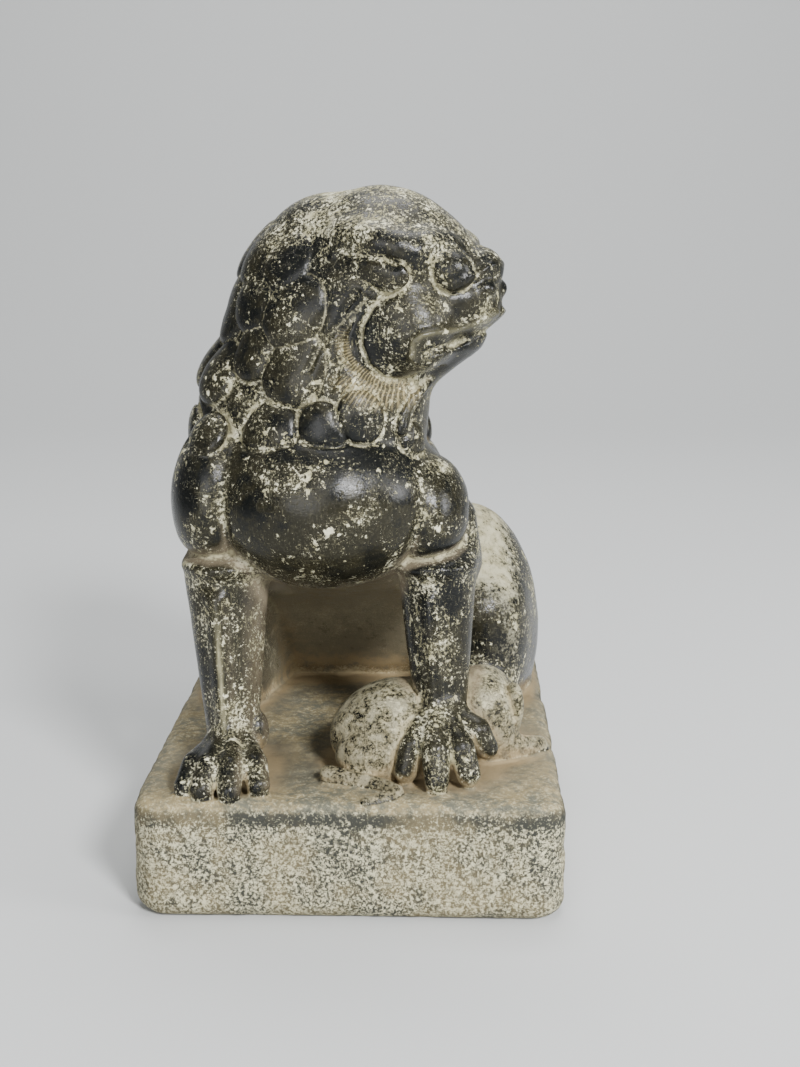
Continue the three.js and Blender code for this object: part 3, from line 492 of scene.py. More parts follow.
    def nearest_curl(self, p):
        """At each point: the distance to the nearest curl, its height, the place along it, and the
        distance to the next curl, where 1 is a curl's rim."""
        nearest = np.full(len(p), 1e3, np.float32)
        second = np.full(len(p), 1e3, np.float32)
        height = np.zeros(len(p), np.float32)
        along = np.zeros(len(p), np.float32)
        for foot, strand, radius, proud in self.curls:
            if foot[2] < HANGING_BELOW:
                continue
            q = p - foot
            up = q @ strand
            shrunk = np.where(up > 0, up * (1 - 1 / STRAND_LENGTH), 0)
            reach = length_of(q - shrunk[:, None] * strand) / radius
            closer = reach < nearest
            second = np.minimum(second, np.maximum(nearest, reach))
            nearest = np.where(closer, reach, nearest)
            height = np.where(closer, proud * (1 - 0.35 * np.clip(up / radius, -1, 1)), height)
            along = np.where(closer, up / radius, along)
        return nearest, height, along, second

    def curl_height(self, p):
        nearest, height, along, _ = self.nearest_curl(p)
        dome = np.maximum(1 - nearest * nearest, 0) ** 0.5
        groove = 0.6 * valley(nearest - 1.04, 0.11) * (1 - 0.75 * clamp01(along * 1.3))
        return self.curl_relief * (height * dome - groove)

    def lion(self, p):
        low = p[:, 2] < CUB_BELOW
        high = p[:, 2] > HEAD_ABOVE
        d = blend(self.loins(p), self.haunches(p), 3)
        d = overlap(d, -self.niche(p), 2.5)
        d = seam(blend(d, self.chest(p), 8), self.tail(p), 0.9, 0.9)
        d = blend(d, only_where(p[:, 1] < FORELEGS_BEFORE, p, self.forelegs), 2)
        shoulder = self.deltoids(p)
        crease = 0.9 * clamp01((108 - p[:, 2]) / 10) * valley(d - shoulder, 1.5)
        d = blend(d, shoulder, 1.5) + crease
        d = blend(d, only_where(high, p, self.head), 1.5)
        curls = np.zeros(len(p), np.float32)
        curls[high] = self.curl_height(p[high])
        d = seam(d - curls, only_where(high, p, self.hanging_curls), 0.6, 0.6)
        return seam(d, only_where(low, p, self.cub), 0.7, 1.0)

    def smooth_form(self, p):
        return blend(self.lion(p), self.slab(p), 2)

    def worn_form(self, p):
        """The form with the hand's unevenness, cut inwards only; the underside stays flat."""
        lion = self.lion(p)
        slab = self.slab(p)
        on_slab = clamp01((lion - slab) / 1.5)
        body = self.noise.at(p, 7.0) * 0.7 + self.noise.at(p, 2.6) * 0.3
        rough = self.noise.at(p, 11.0) * 0.5 + self.noise.at(p, 4.0) * 0.3 + self.noise.at(p, 1.9) * 0.2
        pitted = np.maximum(rough - 0.38, 0) * 1.6
        wear = self.tool_marks * body * (1 - on_slab) + self.slab_wear * pitted * on_slab
        return blend(lion, slab, 2) + wear * clamp01((p[:, 2] - SLAB_BOTTOM) / 1.5)


# Skinning: the field is sampled near the skin only, and each cell it crosses gets one point.

def sample_band(field, low, high, step):
    block = step * COARSE
    blocks = np.ceil((high - low) / block).astype(int)
    centres = [low[axis] + block * (np.arange(blocks[axis]) + 0.5) for axis in range(3)]
    rough = field(np.stack(np.meshgrid(*centres, indexing="ij"), -1).reshape(-1, 3).astype(np.float32))
    rough = rough.reshape(blocks)
    values = rough.repeat(COARSE, 0).repeat(COARSE, 1).repeat(COARSE, 2).astype(np.float32)
    offsets = np.stack(np.meshgrid(*[np.arange(COARSE)] * 3, indexing="ij"), -1).reshape(-1, 3)
    near = np.argwhere(np.abs(rough) < block * BAND_REACH)
    cells = (near[:, None, :] * COARSE + offsets[None]).reshape(-1, 3)
    points = (low + step * cells).astype(np.float32)
    values[cells[:, 0], cells[:, 1], cells[:, 2]] = in_batches(field, points)
    return values


def in_batches(field, points, size=300000):
    parts = [field(points[start:start + size]) for start in range(0, len(points), size)]
    return np.concatenate(parts)


def cell_points(values, cells):
    """The mean of the places where the skin crosses each cell's twelve edges."""
    total = np.zeros((len(cells), 3))
    count = np.zeros(len(cells))
    for corner in np.ndindex(2, 2, 2):
        for axis in range(3):
            if corner[axis] == 1:
                continue
            other = list(corner)
            other[axis] = 1
            a = values[tuple((cells + corner).T)]
            b = values[tuple((cells + other).T)]
            crossed = (a < 0) != (b < 0)
            share = np.where(crossed, a / np.where(crossed, a - b, 1), 0)
            place = np.tile(np.array(corner, float), (len(cells), 1))
            place[:, axis] = share
            total[crossed] += place[crossed]
            count[crossed] += 1
    return cells + total / count[:, None]


def quads_across(inside, names, axis):
    """A face for each pair of samples along the axis that the skin goes between, facing outwards."""
    u, v = (axis + 1) % 3, (axis + 2) % 3
    first = inside.take(range(inside.shape[axis] - 1), axis)
    second = inside.take(range(1, inside.shape[axis]), axis)
    edges = np.argwhere(first != second)
    leaving = first[tuple(edges.T)]
    corners = []
    for du, dv in ((1, 1), (0, 1), (0, 0), (1, 0)):
        cell = edges.copy()
        cell[:, u] -= du
        cell[:, v] -= dv
        corners.append(names[tuple(cell.T)])
    quads = np.stack(corners, 1)
    quads[~leaving] = quads[~leaving][:, ::-1]
    return quads


def skin(values, low, step):
    inside = values < 0
    filled = np.zeros(np.array(values.shape) - 1, np.int8)
    for corner in np.ndindex(2, 2, 2):
        filled += inside[tuple(slice(c, c + s) for c, s in zip(corner, filled.shape))]
    crossed = (filled > 0) & (filled < 8)
    cells = np.argwhere(crossed)
    names = np.full(crossed.shape, -1)
    names[crossed] = np.arange(len(cells))
    quads = [quads_across(inside, names, axis) for axis in range(3)]
    return low + step * cell_points(values, cells), np.concatenate(quads)


def slopes(field, points, away=0.2):
    steps = np.eye(3, dtype=np.float32) * away
    parts = [in_batches(field, points + step) - in_batches(field, points - step) for step in steps]
    return np.stack(parts, -1) / (2 * away)


def settle(field, points):
    """Points moved along the slope onto the skin."""
    points = points.astype(np.float32)
    here = in_batches(field, points)
    slope = slopes(field, points)
    steep = np.maximum((slope * slope).sum(-1), 0.25)
    return points - slope * (np.clip(here, -0.5, 0.5) / steep)[:, None]


def new_mesh(name, points, faces):
    mesh = bpy.data.meshes.new(name)
    mesh.from_pydata(points.tolist(), [], faces.tolist())
    mesh.update()
    return mesh


def thinned(piece, budget, fine_share):
    """The piece's mesh with triangles taken away where the form is plain."""
    group = piece.vertex_groups.new(name="thin_here")
    plain = np.clip(1 - fine_share, 0.05, 1)
    for level in np.unique(np.round(plain, 1)):
        chosen = np.flatnonzero(np.round(plain, 1) == level)
        group.add(chosen.tolist(), float(level), "REPLACE")
    triangles = sum(len(face.vertices) - 2 for face in piece.data.polygons)
    thin = piece.modifiers.new("thin", "DECIMATE")
    thin.ratio = min(budget / triangles, 1.0)
    thin.vertex_group = group.name
    thin.vertex_group_factor = 1.0
    bpy.context.view_layer.update()
    evaluated = piece.evaluated_get(bpy.context.evaluated_depsgraph_get())
    mesh = bpy.data.meshes.new_from_object(evaluated)
    piece.modifiers.clear()
    piece.vertex_groups.clear()
    old = piece.data
    piece.data = mesh
    bpy.data.meshes.remove(old)
    return mesh


def add_values(mesh, name, values):
    attribute = mesh.attributes.new(name, "FLOAT", "POINT")
    attribute.data.foreach_set("value", np.ascontiguousarray(values, np.float32))


def read_points(mesh):
    flat = np.zeros(len(mesh.vertices) * 3, np.float32)
    mesh.vertices.foreach_get("co", flat)
    return flat.reshape(-1, 3)


def below_neighbours(mesh, points, normal, rounds):
    """How far each point lies under the skin around it, smoothed over so many rounds of neighbours."""
    ends = np.zeros(len(mesh.edges) * 2, np.int32)
    mesh.edges.foreach_get("vertices", ends)
    ends = ends.reshape(-1, 2)
    here = np.concatenate([ends[:, 0], ends[:, 1]])
    there = np.concatenate([ends[:, 1], ends[:, 0]])
    count = np.bincount(here, minlength=len(points))[:, None]
    smooth = points.astype(float)
    for _ in range(rounds):
        ends_here = smooth[there]
        total = [np.bincount(here, weights=axis, minlength=len(points)) for axis in ends_here.T]
        smooth = smooth * 0.5 + np.stack(total, -1) / count * 0.5
    return ((smooth - points) * normal).sum(-1)


class SkinPoints:
    """The points of the finished skin, and what the finish needs to know about each, from 0 to 1."""

    def __init__(self, mesh, carving):
        self.carving = carving
        self.points = read_points(mesh) * 1000 - row(0, 0, RISE)
        self.x, self.y, self.z = self.points.T
        normal = slopes(carving.smooth_form, self.points, 0.5)
        self.normal = normal / np.maximum(length_of(normal), 1e-6)[:, None]
        self.below = below_neighbours(mesh, self.points, self.normal, 8)
        self.head = carving.head_frame(self.points)
        self.from_cheek = self.head[:, ::2] - row(*CHEEK_CENTRE)
        self.beside = ramp(self.head[:, 1], 9, 13)
        self.forelegs = ramp(self.z, 90, 84) * ramp(self.z, 30, 32) * ramp(self.y, -14, -18)
        self.rear = ramp(self.y, 2, 10) * ramp(self.z, 96, 86)

    def closed_in(self, out, shift, reach):
        """How near stone is to a place off the skin: 1 where it touches, 0 where it is the reach away."""
        place = self.points + self.normal * out + row(*shift)
        return 1 - in_batches(self.carving.smooth_form, place) / reach

    def hollows(self):
        shelter = self.closed_in(5, (0, -5, 12), 14) * 0.5 + self.closed_in(5, (0, -14, 3), 14) * 0.5
        return {
            "hollow": self.closed_in(2.2, (0, 0, 0), 2.2),
            "wide_hollow": self.closed_in(7, (0, 0, 0), 7),
            "shelter": clamp01(shelter) * (ramp(self.z, 120, 108) * 0.75 + 0.25),
            "crest": -self.below / 0.4,
        }

    def grooves(self):
        """Cut lines that pale earth fills: between the curls, and on the side of the head."""
        nearest, _, _, second = self.carving.nearest_curl(self.points)
        rims = valley(nearest - 1.04, 0.055)
        creases = valley(second - nearest, 0.07) * (nearest < 1.04)
        curls = np.maximum(rims, creases) * ramp(self.z, 124, 128) * ramp(self.z, 171, 157)
        lines = strongest(self.head[:, ::2], FILLED_LINES) * ramp(self.head[:, 1], 8, 12)
        return {"groove": np.maximum(self.below / 0.65, np.maximum(curls, lines) * 0.9)}

    def face(self):
        """The lips, and the beard that runs out from the cheek in fine lines."""
        side = self.head[:, ::2]
        away = length_of(self.from_cheek)
        round_cheek = ramp(away, 10, 10.6)
        comb = round_cheek * ramp(away, 13.8, 12.6) * ramp(side[:, 1], -7, -13) * ramp(side[:, 0], 13, 9)
        fan = round_cheek * ramp(away, 19.5, 15.5) * ramp(side[:, 1], -19, -22)
        return {
            "lips": valley(near_line(side, LIP), 0.7) * ramp(self.head[:, 1], 0, 3) * (self.z > 130),
            "beard": np.maximum(comb * 0.7, fan * 0.8) * self.beside,
        }

    def weather(self):
        """Where more crust sits: on the crown, the cheeks, the rear and the forelegs."""
        cheek = valley(length_of(self.from_cheek), 7) * self.beside
        worn = ramp(self.z, 160, 174) * 0.85 + self.forelegs * 0.35 + self.rear * 0.4
        return {"weathered": worn + cheek * 0.9}

    def strand(self):
        """The way round the cheek, which the beard's lines are counted along."""
        return np.arctan2(self.from_cheek[:, 1], self.from_cheek[:, 0]) * 13

    def body(self):
        """The slab, the coat on haunches and cub, the film on the belly, dust and painted light on the
        left foreleg, and the painted highlight down the shin.
        """
        lion = in_batches(self.carving.lion, self.points)
        slab = in_batches(self.carving.slab, self.points)
        outward = self.normal[:, 0] * np.sign(self.x)
        haunches = self.rear * ramp(outward, 0.9, 0.6) * ramp(np.abs(self.x), 30, 34)
        cub = clamp01(1 - in_batches(self.carving.cub, self.points)) * (self.z > 29.5)
        niche = ramp(self.y, -23, -18) * ramp(np.abs(self.x + 3), 29, 24) * ramp(self.z, 76, 68)
        # Painted highlight: a pale line down the left shin's crest, only where it faces the camera.
        from_shin = np.abs(self.x - SHIN_TOP[0] - (SHIN_TOP[1] - self.z) * SHIN_LEAN)
        shin = valley(from_shin, 0.5) * ramp(self.z, 74, 62) * ramp(self.z, 40, 45)
        return {
            "on_slab": (lion - slab) / 2.5 + 0.5,
            "coated": np.maximum(haunches, cub * 0.7),
            "low_down": ramp(self.z, 60, 34),
            "niche": niche * clamp01(0.6 - self.normal[:, 1] * 2) * (self.y < 34),
            "shin": shin * self.forelegs * ramp(self.normal[:, 1], -0.3, -0.8),
            # Partly dust, partly painted light: lighter on the left foreleg's side that faces right,
            # towards the lamps.
            "film": ramp(self.normal[:, 0], 0.4, 0.9) * (self.x < -20) * self.forelegs,
        }


def describe_surface(mesh, carving):
    """Stores on each point of the skin what its finish needs."""
    on_skin = SkinPoints(mesh, carving)
    for marks in (on_skin.hollows, on_skin.grooves, on_skin.face, on_skin.weather, on_skin.body):
        for name, value in marks().items():
            add_values(mesh, name, clamp01(value))
    add_values(mesh, "strand", on_skin.strand())


# Materials: an expression on wires adds its own maths nodes.

class Wire:
    """A node's value that takes part in sums."""

    def __init__(self, bench, socket):
        self.bench = bench
        self.socket = socket

    def maths(self, operation, first, second=0.0):
        return self.bench.node("ShaderNodeMath", {"operation": operation}, {0: first, 1: second})

    def __add__(self, other):
        return self.maths("ADD", self, other)

    def __radd__(self, other):
        return self.maths("ADD", other, self)

    def __sub__(self, other):
        return self.maths("SUBTRACT", self, other)

    def __rsub__(self, other):
        return self.maths("SUBTRACT", other, self)

    def __mul__(self, other):
        return self.maths("MULTIPLY", self, other)

    def __rmul__(self, other):
        return self.maths("MULTIPLY", other, self)

    def sine(self):
        return self.maths("SINE", self)

    def larger(self, other):
        return self.maths("MAXIMUM", self, other)


class StoneBench:
    """Lays the nodes of one material."""

    def __init__(self, name):
        self.material = bpy.data.materials.new(name)
        self.material.use_nodes = True
        self.tree = self.material.node_tree
        self.tree.nodes.clear()

    def node(self, kind, settings, sockets, output=0):
        made = self.tree.nodes.new(kind)
        for name, value in settings.items():
            setattr(made, name, value)
        for name, value in sockets.items():
            if isinstance(value, Wire):
                self.tree.links.new(value.socket, made.inputs[name])
            else:
                made.inputs[name].default_value = value
        return Wire(self, made.outputs[output]) if len(made.outputs) else made

    def attribute(self, name):
        return self.node("ShaderNodeAttribute", {"attribute_name": name}, {}, "Fac")

    def noise(self, where, size, detail=2.0, rough=0.5, twist=0.0):
        sockets = {"Vector": where, "Scale": 1 / size, "Detail": detail,
                   "Roughness": rough, "Distortion": twist}
        return self.node("ShaderNodeTexNoise", {}, sockets)

    def stretched(self, where, scale):
        return self.node("ShaderNodeVectorMath", {"operation": "MULTIPLY"}, {0: where, 1: scale})

    def step(self, value, low, high):
        sockets = {"Value": value, "From Min": low, "From Max": high}
        return self.node("ShaderNodeMapRange", {"interpolation_type": "SMOOTHSTEP"}, sockets)

    def mixed(self, share, first, second):
        return self.node("ShaderNodeMix", {"data_type": "RGBA"}, {0: share, 6: first, 7: second}, 2)

    def bump(self, height, depth, strength):
        sockets = {"Height": height, "Distance": depth, "Strength": strength}
        return self.node("ShaderNodeBump", {}, sockets)

    def finished(self, sockets):
        shader = self.node("ShaderNodeBsdfPrincipled", {}, sockets)
        self.node("ShaderNodeOutputMaterial", {}, {"Surface": shader})
        return self.material


SURFACE_VALUES = ("groove", "crest", "hollow", "wide_hollow", "shelter", "on_slab", "weathered", "coated",
                  "low_down", "beard", "strand", "lips", "niche", "shin", "film")

# Sizes of the stone's patterns, in millimetres.
PATCH_SIZE = 24
COVER_SIZE = 12
SPOT_SIZE = 2.8
MOTTLE_SIZE = 3.5
LUMP_SIZE = 2.2
FLECK_SIZE = 0.85
GRAIN_SIZE = 0.8
SCRATCH_SIZE = 0.6
SLAB_PATCH_SIZE = 14
SLAB_SPOT_SIZE = 1.6

# How the stone takes light: its pores' depth in metres and their strength, and its own shine.
PORE_DEPTH = 0.0003
PORE_STRENGTH = 0.9
STONE_IOR = 1.5
STONE_SHINE = 0.25

# The pattern's size on x, y and z is divided by these, which draws scratches out one way.
UPRIGHT_SCRATCH = (1.8, 1.8, 0.2)
LEVEL_SCRATCH = (0.25, 0.8, 1.9)


class StoneLayers:
    """The layers of the finish: the stone's own colour, crust, scratches, earth and the slab's grain."""

    def __init__(self, bench, finish):
        self.bench = bench
        self.finish = finish
        place = bench.node("ShaderNodeTexCoord", {}, {}, "Object")
        self.mm = bench.stretched(place, (1000, 1000, 1000))
        self.height = bench.node("ShaderNodeSeparateXYZ", {}, {"Vector": self.mm}, "Z")
        self.patches = bench.noise(self.mm, PATCH_SIZE, 3)
        self.cover = bench.noise(self.mm, COVER_SIZE, 3, 0.55) - 0.5
        self.mottle = bench.noise(self.mm, MOTTLE_SIZE, 4, 0.6)
        self.grain = bench.noise(self.mm, GRAIN_SIZE, 3, 0.65)
        self.fleck = bench.noise(self.mm, FLECK_SIZE, 4, 0.78)
        self.lumps = bench.noise(self.mm, LUMP_SIZE, 5, 0.7)
        self.at = {name: bench.attribute(name) for name in SURFACE_VALUES}

    def body(self):
        bench, finish = self.bench, self.finish
        brown = bench.step(self.patches * 0.6 + self.mottle * 0.4, 0.43, 0.57)
        colour = bench.mixed(brown, finish.dark_stone, finish.brown_stone)
        grain = bench.step(self.grain, 0.48, 0.78) * (brown * 0.5 + 0.1)
        return bench.mixed(grain, colour, finish.warm_grain)

    def crust(self):
        bench, at = self.bench, self.at
        near = at["hollow"] * 0.13 + at["groove"] * 0.06 - at["crest"] * 0.03
        amount = self.cover * 0.4 + at["weathered"] * 0.085 + near
        flecks = bench.step(self.fleck + amount, 0.6, 0.66) * (1 - at["niche"] * 0.85)
        spots = bench.step(bench.noise(self.mm, SPOT_SIZE, 6, 0.64, 0.3) + self.cover * 0.3, 0.61, 0.65)
        flaked = self.mottle * 0.35 + self.fleck * 0.65 + at["coated"] * 0.15
        coat = bench.step(flaked, 0.52, 0.63) * at["coated"]
        return flecks.larger(spots * (1 - at["niche"])).larger(coat * 0.85) * self.finish.crust_amount

    def scratches(self):
        bench, at = self.bench, self.at
        upright = bench.noise(bench.stretched(self.mm, UPRIGHT_SCRATCH), SCRATCH_SIZE, 3, 0.6, 0.5)
        level = bench.noise(bench.stretched(self.mm, LEVEL_SCRATCH), SCRATCH_SIZE, 3, 0.6, 0.6)
        amount = self.cover * 0.3 + at["hollow"] * 0.1 + at["weathered"] * 0.04
        down = bench.step(upright + amount, 0.6, 0.7) * 0.7
        across = bench.step(level + amount, 0.62, 0.7) * 0.5
        return down.larger(across) * (1 - at["on_slab"])

    def teeth(self):
        """The fine cut lines of the beard, which run out from the cheek."""
        wave = (self.at["strand"] * 7.5 + self.mottle * 4.0).sine() * 0.4 + self.grain
        return self.bench.step(wave, 0.45, 0.9)

    def settled(self):
        bench, at = self.bench, self.at
        worn = (self.mottle - 0.5) * 0.7 + (self.fleck - 0.5) * 0.5
        narrow = bench.step(at["groove"] + worn, 0.45, 1.05)
        deep = bench.step(at["hollow"] + worn, 0.7, 1.1)
        return narrow.larger(deep)

    def dusty(self):
        at = self.at
        sheltered = at["wide_hollow"] * 0.45 + at["shelter"] * 0.8
        uneven = (self.patches - 0.5) * 0.5 + (self.mottle - 0.5) * 0.4
        return self.bench.step(sheltered + uneven, 0.45, 0.95)

    def lion(self, crust, scratches, dusty, settled):
        bench, finish, at = self.bench, self.finish, self.at
        crust_colour = bench.mixed(bench.step(self.mottle, 0.4, 0.65), finish.crust, finish.white_crust)
        crust_colour = bench.mixed(at["coated"] * 0.65, crust_colour, finish.coat)
        crust_colour = bench.mixed(at["coated"] * at["low_down"] * 0.5, crust_colour, finish.ochre)
        earthy = at["low_down"] * bench.step(self.mottle, 0.3, 0.55)
        dust_colour = bench.mixed(earthy, finish.dust_and_painted_light, finish.ochre)
        groove_colour = bench.mixed(at["low_down"] * 0.8, finish.groove, finish.ochre)
        # Partly dust, partly painted light: the dust colour laid on the left foreleg's right-facing side.
        colour = bench.mixed(at["film"] * (self.mottle * 0.5 + 0.1), self.body(), finish.dust_and_painted_light)
        colour = bench.mixed(at["lips"] * (self.mottle * 0.4), colour, finish.crust)
        colour = bench.mixed(at["niche"] * (self.mottle * 0.5 + 0.6), colour, finish.belly_film)
        colour = bench.mixed(scratches * 0.3, colour, finish.crust)
        colour = bench.mixed(crust, colour, crust_colour)
        beard = at["beard"] * (self.teeth() * 0.6 + self.mottle * 0.3)
        colour = bench.mixed(beard, colour, finish.beard_earth)
        colour = bench.mixed(dusty * 0.7, colour, dust_colour)
        # Painted highlight: crust colour laid along the left shin's crest.
        colour = bench.mixed(at["shin"] * (self.mottle + 0.2), colour, finish.crust)
        return bench.mixed(settled * 0.68, colour, groove_colour)

    def block(self, dusty):
        """The slab: grain on its sides, a dark line under the edge, dust and wear on top."""
        bench, finish, at = self.bench, self.finish, self.at
        worn = bench.noise(self.mm, SLAB_PATCH_SIZE, 4, 0.6)
        grains = bench.noise(self.mm, GRAIN_SIZE, 4, 0.8) * 0.8 + self.lumps * 0.2
        under_edge = bench.step(self.height, 24, 28) * (1 - bench.step(self.height, 28, 31))
        share = bench.step(grains + (worn - 0.5) * 0.05 - under_edge * self.patches * 0.15, 0.46, 0.57)
        sides = bench.mixed(share, finish.slab_dark, finish.slab_pale)
        warm = bench.step(worn, 0.42, 0.62) * (1 - share * 0.5) * 0.4
        sides = bench.mixed(warm, sides, finish.slab_warm)
        spots = bench.step(bench.noise(self.mm, SLAB_SPOT_SIZE, 3, 0.7), 0.6, 0.68) * 0.7
        sides = bench.mixed(spots, sides, finish.slab_dark)
        stained = bench.step(self.lumps + (worn - 0.5) * 0.8, 0.36, 0.66)
        top = bench.mixed(stained, finish.slab_top, finish.slab_warm)
        pale = bench.step(self.fleck + (self.lumps - 0.5) * 0.6, 0.48, 0.72) * (0.7 - at["shelter"] * 0.6)
        top = bench.mixed(pale, top, finish.slab_pale)
        top = bench.mixed(at["shelter"] * 1.2, top, finish.top_dust)
        top = bench.mixed(dusty * 0.6, top, finish.ochre)
        return bench.mixed(bench.step(self.height + (self.lumps - 0.5) * 3, 28.6, 30.6), sides, top)


def stone_material(finish):
    """Dark polished stone with pale encrustation, earth in its hollows and a coarse granular slab."""
    bench = StoneBench("worn_stone")
    layers = StoneLayers(bench, finish)
    crust = layers.crust()
    scratches = layers.scratches()
    settled = layers.settled()
    dusty = layers.dusty()
    is_slab = bench.step(layers.at["on_slab"] + (layers.mottle - 0.5) * 0.35, 0.35, 0.65)
    colour = bench.mixed(is_slab, layers.lion(crust, scratches, dusty, settled), layers.block(dusty))
    polish = finish.polished + (layers.mottle - 0.5) * 0.2 - layers.at["crest"] * 0.1
    covered = crust.larger(settled).larger(is_slab).larger(dusty * 0.8)
    rough = polish + (finish.matt - finish.polished) * covered
    beard_cuts = layers.teeth() * layers.at["beard"] * 0.6
    relief = crust * 0.5 + layers.grain * 0.3 - scratches * 0.3 - beard_cuts
    slab_relief = (layers.fleck + layers.lumps) * is_slab
    normal = bench.bump(relief * (1 - is_slab) + slab_relief, PORE_DEPTH, PORE_STRENGTH)
    sockets = {"Base Color": colour, "Roughness": rough, "Normal": normal, "IOR": STONE_IOR,
               "Specular IOR Level": STONE_SHINE}
    return bench.finished(sockets)


def plain_material(name, colour, roughness):
    return StoneBench(name).finished({"Base Color": colour, "Roughness": roughness})


# What a user can change.

def share_property(name, description, value, most=1.0):
    return FloatProperty(
        name=name, description=description, default=value, min=0.0, max=most, subtype="FACTOR")


def power_property(name, description, value):
    return FloatProperty(name=name, description=description, default=value, min=0.0, unit="POWER")


def length_property(name, description, value, least, most):
    return FloatProperty(
        name=name, description=description, default=value, min=least, max=most, unit="LENGTH")


def colour_property(name, description, value):
    return FloatVectorProperty(
        name=name, description=description, default=value, size=4, min=0.0, max=1.0, subtype="COLOR")


class LionSizes(bpy.types.PropertyGroup):
    """Sizes of the carving and of its skin."""

    slab_width: FloatProperty(
        name="Slab width", description="Width of the slab, side to side",
        default=SLAB_SIZE.x, min=0.05, unit="LENGTH")
    slab_length: FloatProperty(
        name="Slab length", description="Length of the slab, front to back",
        default=SLAB_SIZE.y, min=0.08, unit="LENGTH")
    niche_slope: FloatProperty(
        name="Belly slope", description="How much the belly wall leans over the hollow between the legs",
        default=0.72, min=0.0, max=1.5)
    curl_relief: share_property(
        "Curl relief", "How far the curls of the mane stand out, against the solid's", 1.0, 1.5)
    tool_marks: length_property(
        "Tool marks", "Depth of the hand's unevenness on the lion", 0.0004, 0.0, 0.002)
    slab_wear: length_property(
        "Slab wear", "Depth of the worn unevenness on the slab", 0.0012, 0.0, 0.003)
    skin_step: length_property(
        "Skin step", "Spacing of the samples the skin is made from", 0.0007, 0.0004, 0.003)
    skin_triangles: IntProperty(
        name="Triangles", description="Most triangles in the finished skin",
        default=192000, min=10000, max=199000)


class StoneFinish(bpy.types.PropertyGroup):
    """Colours of the stone, its crust and its dust."""

    dark_stone: colour_property("Dark stone", "The darkest stone", (0.0033, 0.0039, 0.0037, 1))
    brown_stone: colour_property("Brown stone", "The stone's olive brown", (0.0125, 0.0113, 0.0058, 1))
    warm_grain: colour_property("Warm grain", "Fine lighter grain in the stone", (0.055, 0.05, 0.03, 1))
    crust: colour_property("Crust", "Pale encrustation on the stone", (0.36, 0.335, 0.2, 1))
    white_crust: colour_property("White crust", "The palest encrustation", (0.74, 0.71, 0.52, 1))
    coat: colour_property("Coat", "Cream coat on the haunches and the cub", (0.33, 0.3, 0.18, 1))
    # Grey brown dust; the same colour also paints light on the left foreleg's right-facing side.
    dust_and_painted_light: colour_property("Dust", "Grey brown dust in sheltered places", (0.2, 0.165, 0.11, 1))
    ochre: colour_property("Ochre", "Ochre earth between the paws", (0.32, 0.24, 0.125, 1))
    groove: colour_property("Groove", "Pale earth settled in the grooves", (0.42, 0.39, 0.25, 1))
    belly_film: colour_property("Belly film", "Grey brown film under the belly", (0.2, 0.175, 0.118, 1))
    beard_earth: colour_property("Beard earth", "Ochre earth in the beard's lines", (0.46, 0.38, 0.19, 1))
    slab_dark: colour_property("Slab dark grain", "Dark grains of the slab", (0.03, 0.031, 0.025, 1))
    slab_pale: colour_property("Slab pale grain", "Pale grains of the slab", (0.52, 0.49, 0.33, 1))
    slab_warm: colour_property("Slab warm patch", "Warm patches of the slab", (0.25, 0.2, 0.1, 1))
    top_dust: colour_property("Top dust", "Brown dust between the paws", (0.13, 0.112, 0.074, 1))
    slab_top: colour_property("Slab top", "Grey of the slab's worn top", (0.11, 0.11, 0.082, 1))
    crust_amount: share_property("Crust amount", "How strongly the crust shows", 0.9)
    polished: share_property("Polished roughness", "Roughness of the polished stone", 0.3)
    matt: share_property("Matt roughness", "Roughness of crust, dust and slab", 0.85)


class StageSettings(bpy.types.PropertyGroup):
    """Camera, floor and lights."""

    camera_distance: FloatProperty(
        name="Camera distance", description="How far the camera stands in front of the block's centre",
        default=0.4291, min=0.1, unit="LENGTH")
    camera_height: FloatProperty(
        name="Camera height", description="Height of the camera over the floor",
        default=0.1794, min=0.0, unit="LENGTH")
    camera_side: FloatProperty(
        name="Camera side", description="How far the camera stands to the side",
        default=0.023, unit="LENGTH")
    camera_pitch: FloatProperty(
        name="Camera pitch", description="How far the camera looks down",
        default=math.radians(12.24), subtype="ANGLE")
    camera_turn: FloatProperty(
        name="Camera turn", description="How far the camera is turned to the side",
        default=math.radians(1.53), subtype="ANGLE")
    lens: FloatProperty(
        name="Lens", description="Focal length of the camera",
        default=50.6, min=10.0, unit="CAMERA")
    key_power: power_property("Key light", "Power of the light in front, high on the right", 30.0)
    fill_power: power_property("Fill light", "Power of the soft light on the left", 8.0)
    side_power: power_property("Side light", "Power of the soft light on the right", 10.0)
    top_power: power_property("Top light", "Power of the light overhead", 6.0)
    wall_power: power_property("Wall light", "Power of the light on the floor's rise", 30.0)
    room_light: FloatProperty(
        name="Room light", description="Strength of the even light from all round",
        default=0.3, min=0.0)
    floor_colour: colour_property("Floor", "Colour of the floor", (0.5, 0.51, 0.51, 1))


# The piece and the stage.

def raw_skin(carving, step):
    """The worn form's skin, laid between samples so many millimetres apart."""
    across, along = carving.slab_half
    low = np.array([-across - LOW_MARGIN, -along - LOW_MARGIN, SLAB_BOTTOM - step * 1.5])
    high = np.array([across + HIGH_MARGIN, along + HIGH_MARGIN, HIGHEST])
    points, faces = skin(sample_band(carving.worn_form, low, high, step), low, step)
    points[:, 2] = np.maximum(points[:, 2], SLAB_BOTTOM)
    return points, faces


def fine_places(points):
    """Where the skin keeps small triangles: most on the mane and the face, then on the forepaws."""
    y, z = points[:, 1], points[:, 2]
    mane = ramp(z, 108, 120) * ramp(y, 12, -8)
    paws = ramp(y, -20, -26) * ramp(z, 29.5, 30.5) * ramp(z, 56, 48)
    return np.maximum(mane * 0.95, paws * 0.7)


def smooth_shaded(mesh):
    mesh.polygons.foreach_set("use_smooth", np.ones(len(mesh.polygons), bool))
    mesh.update()


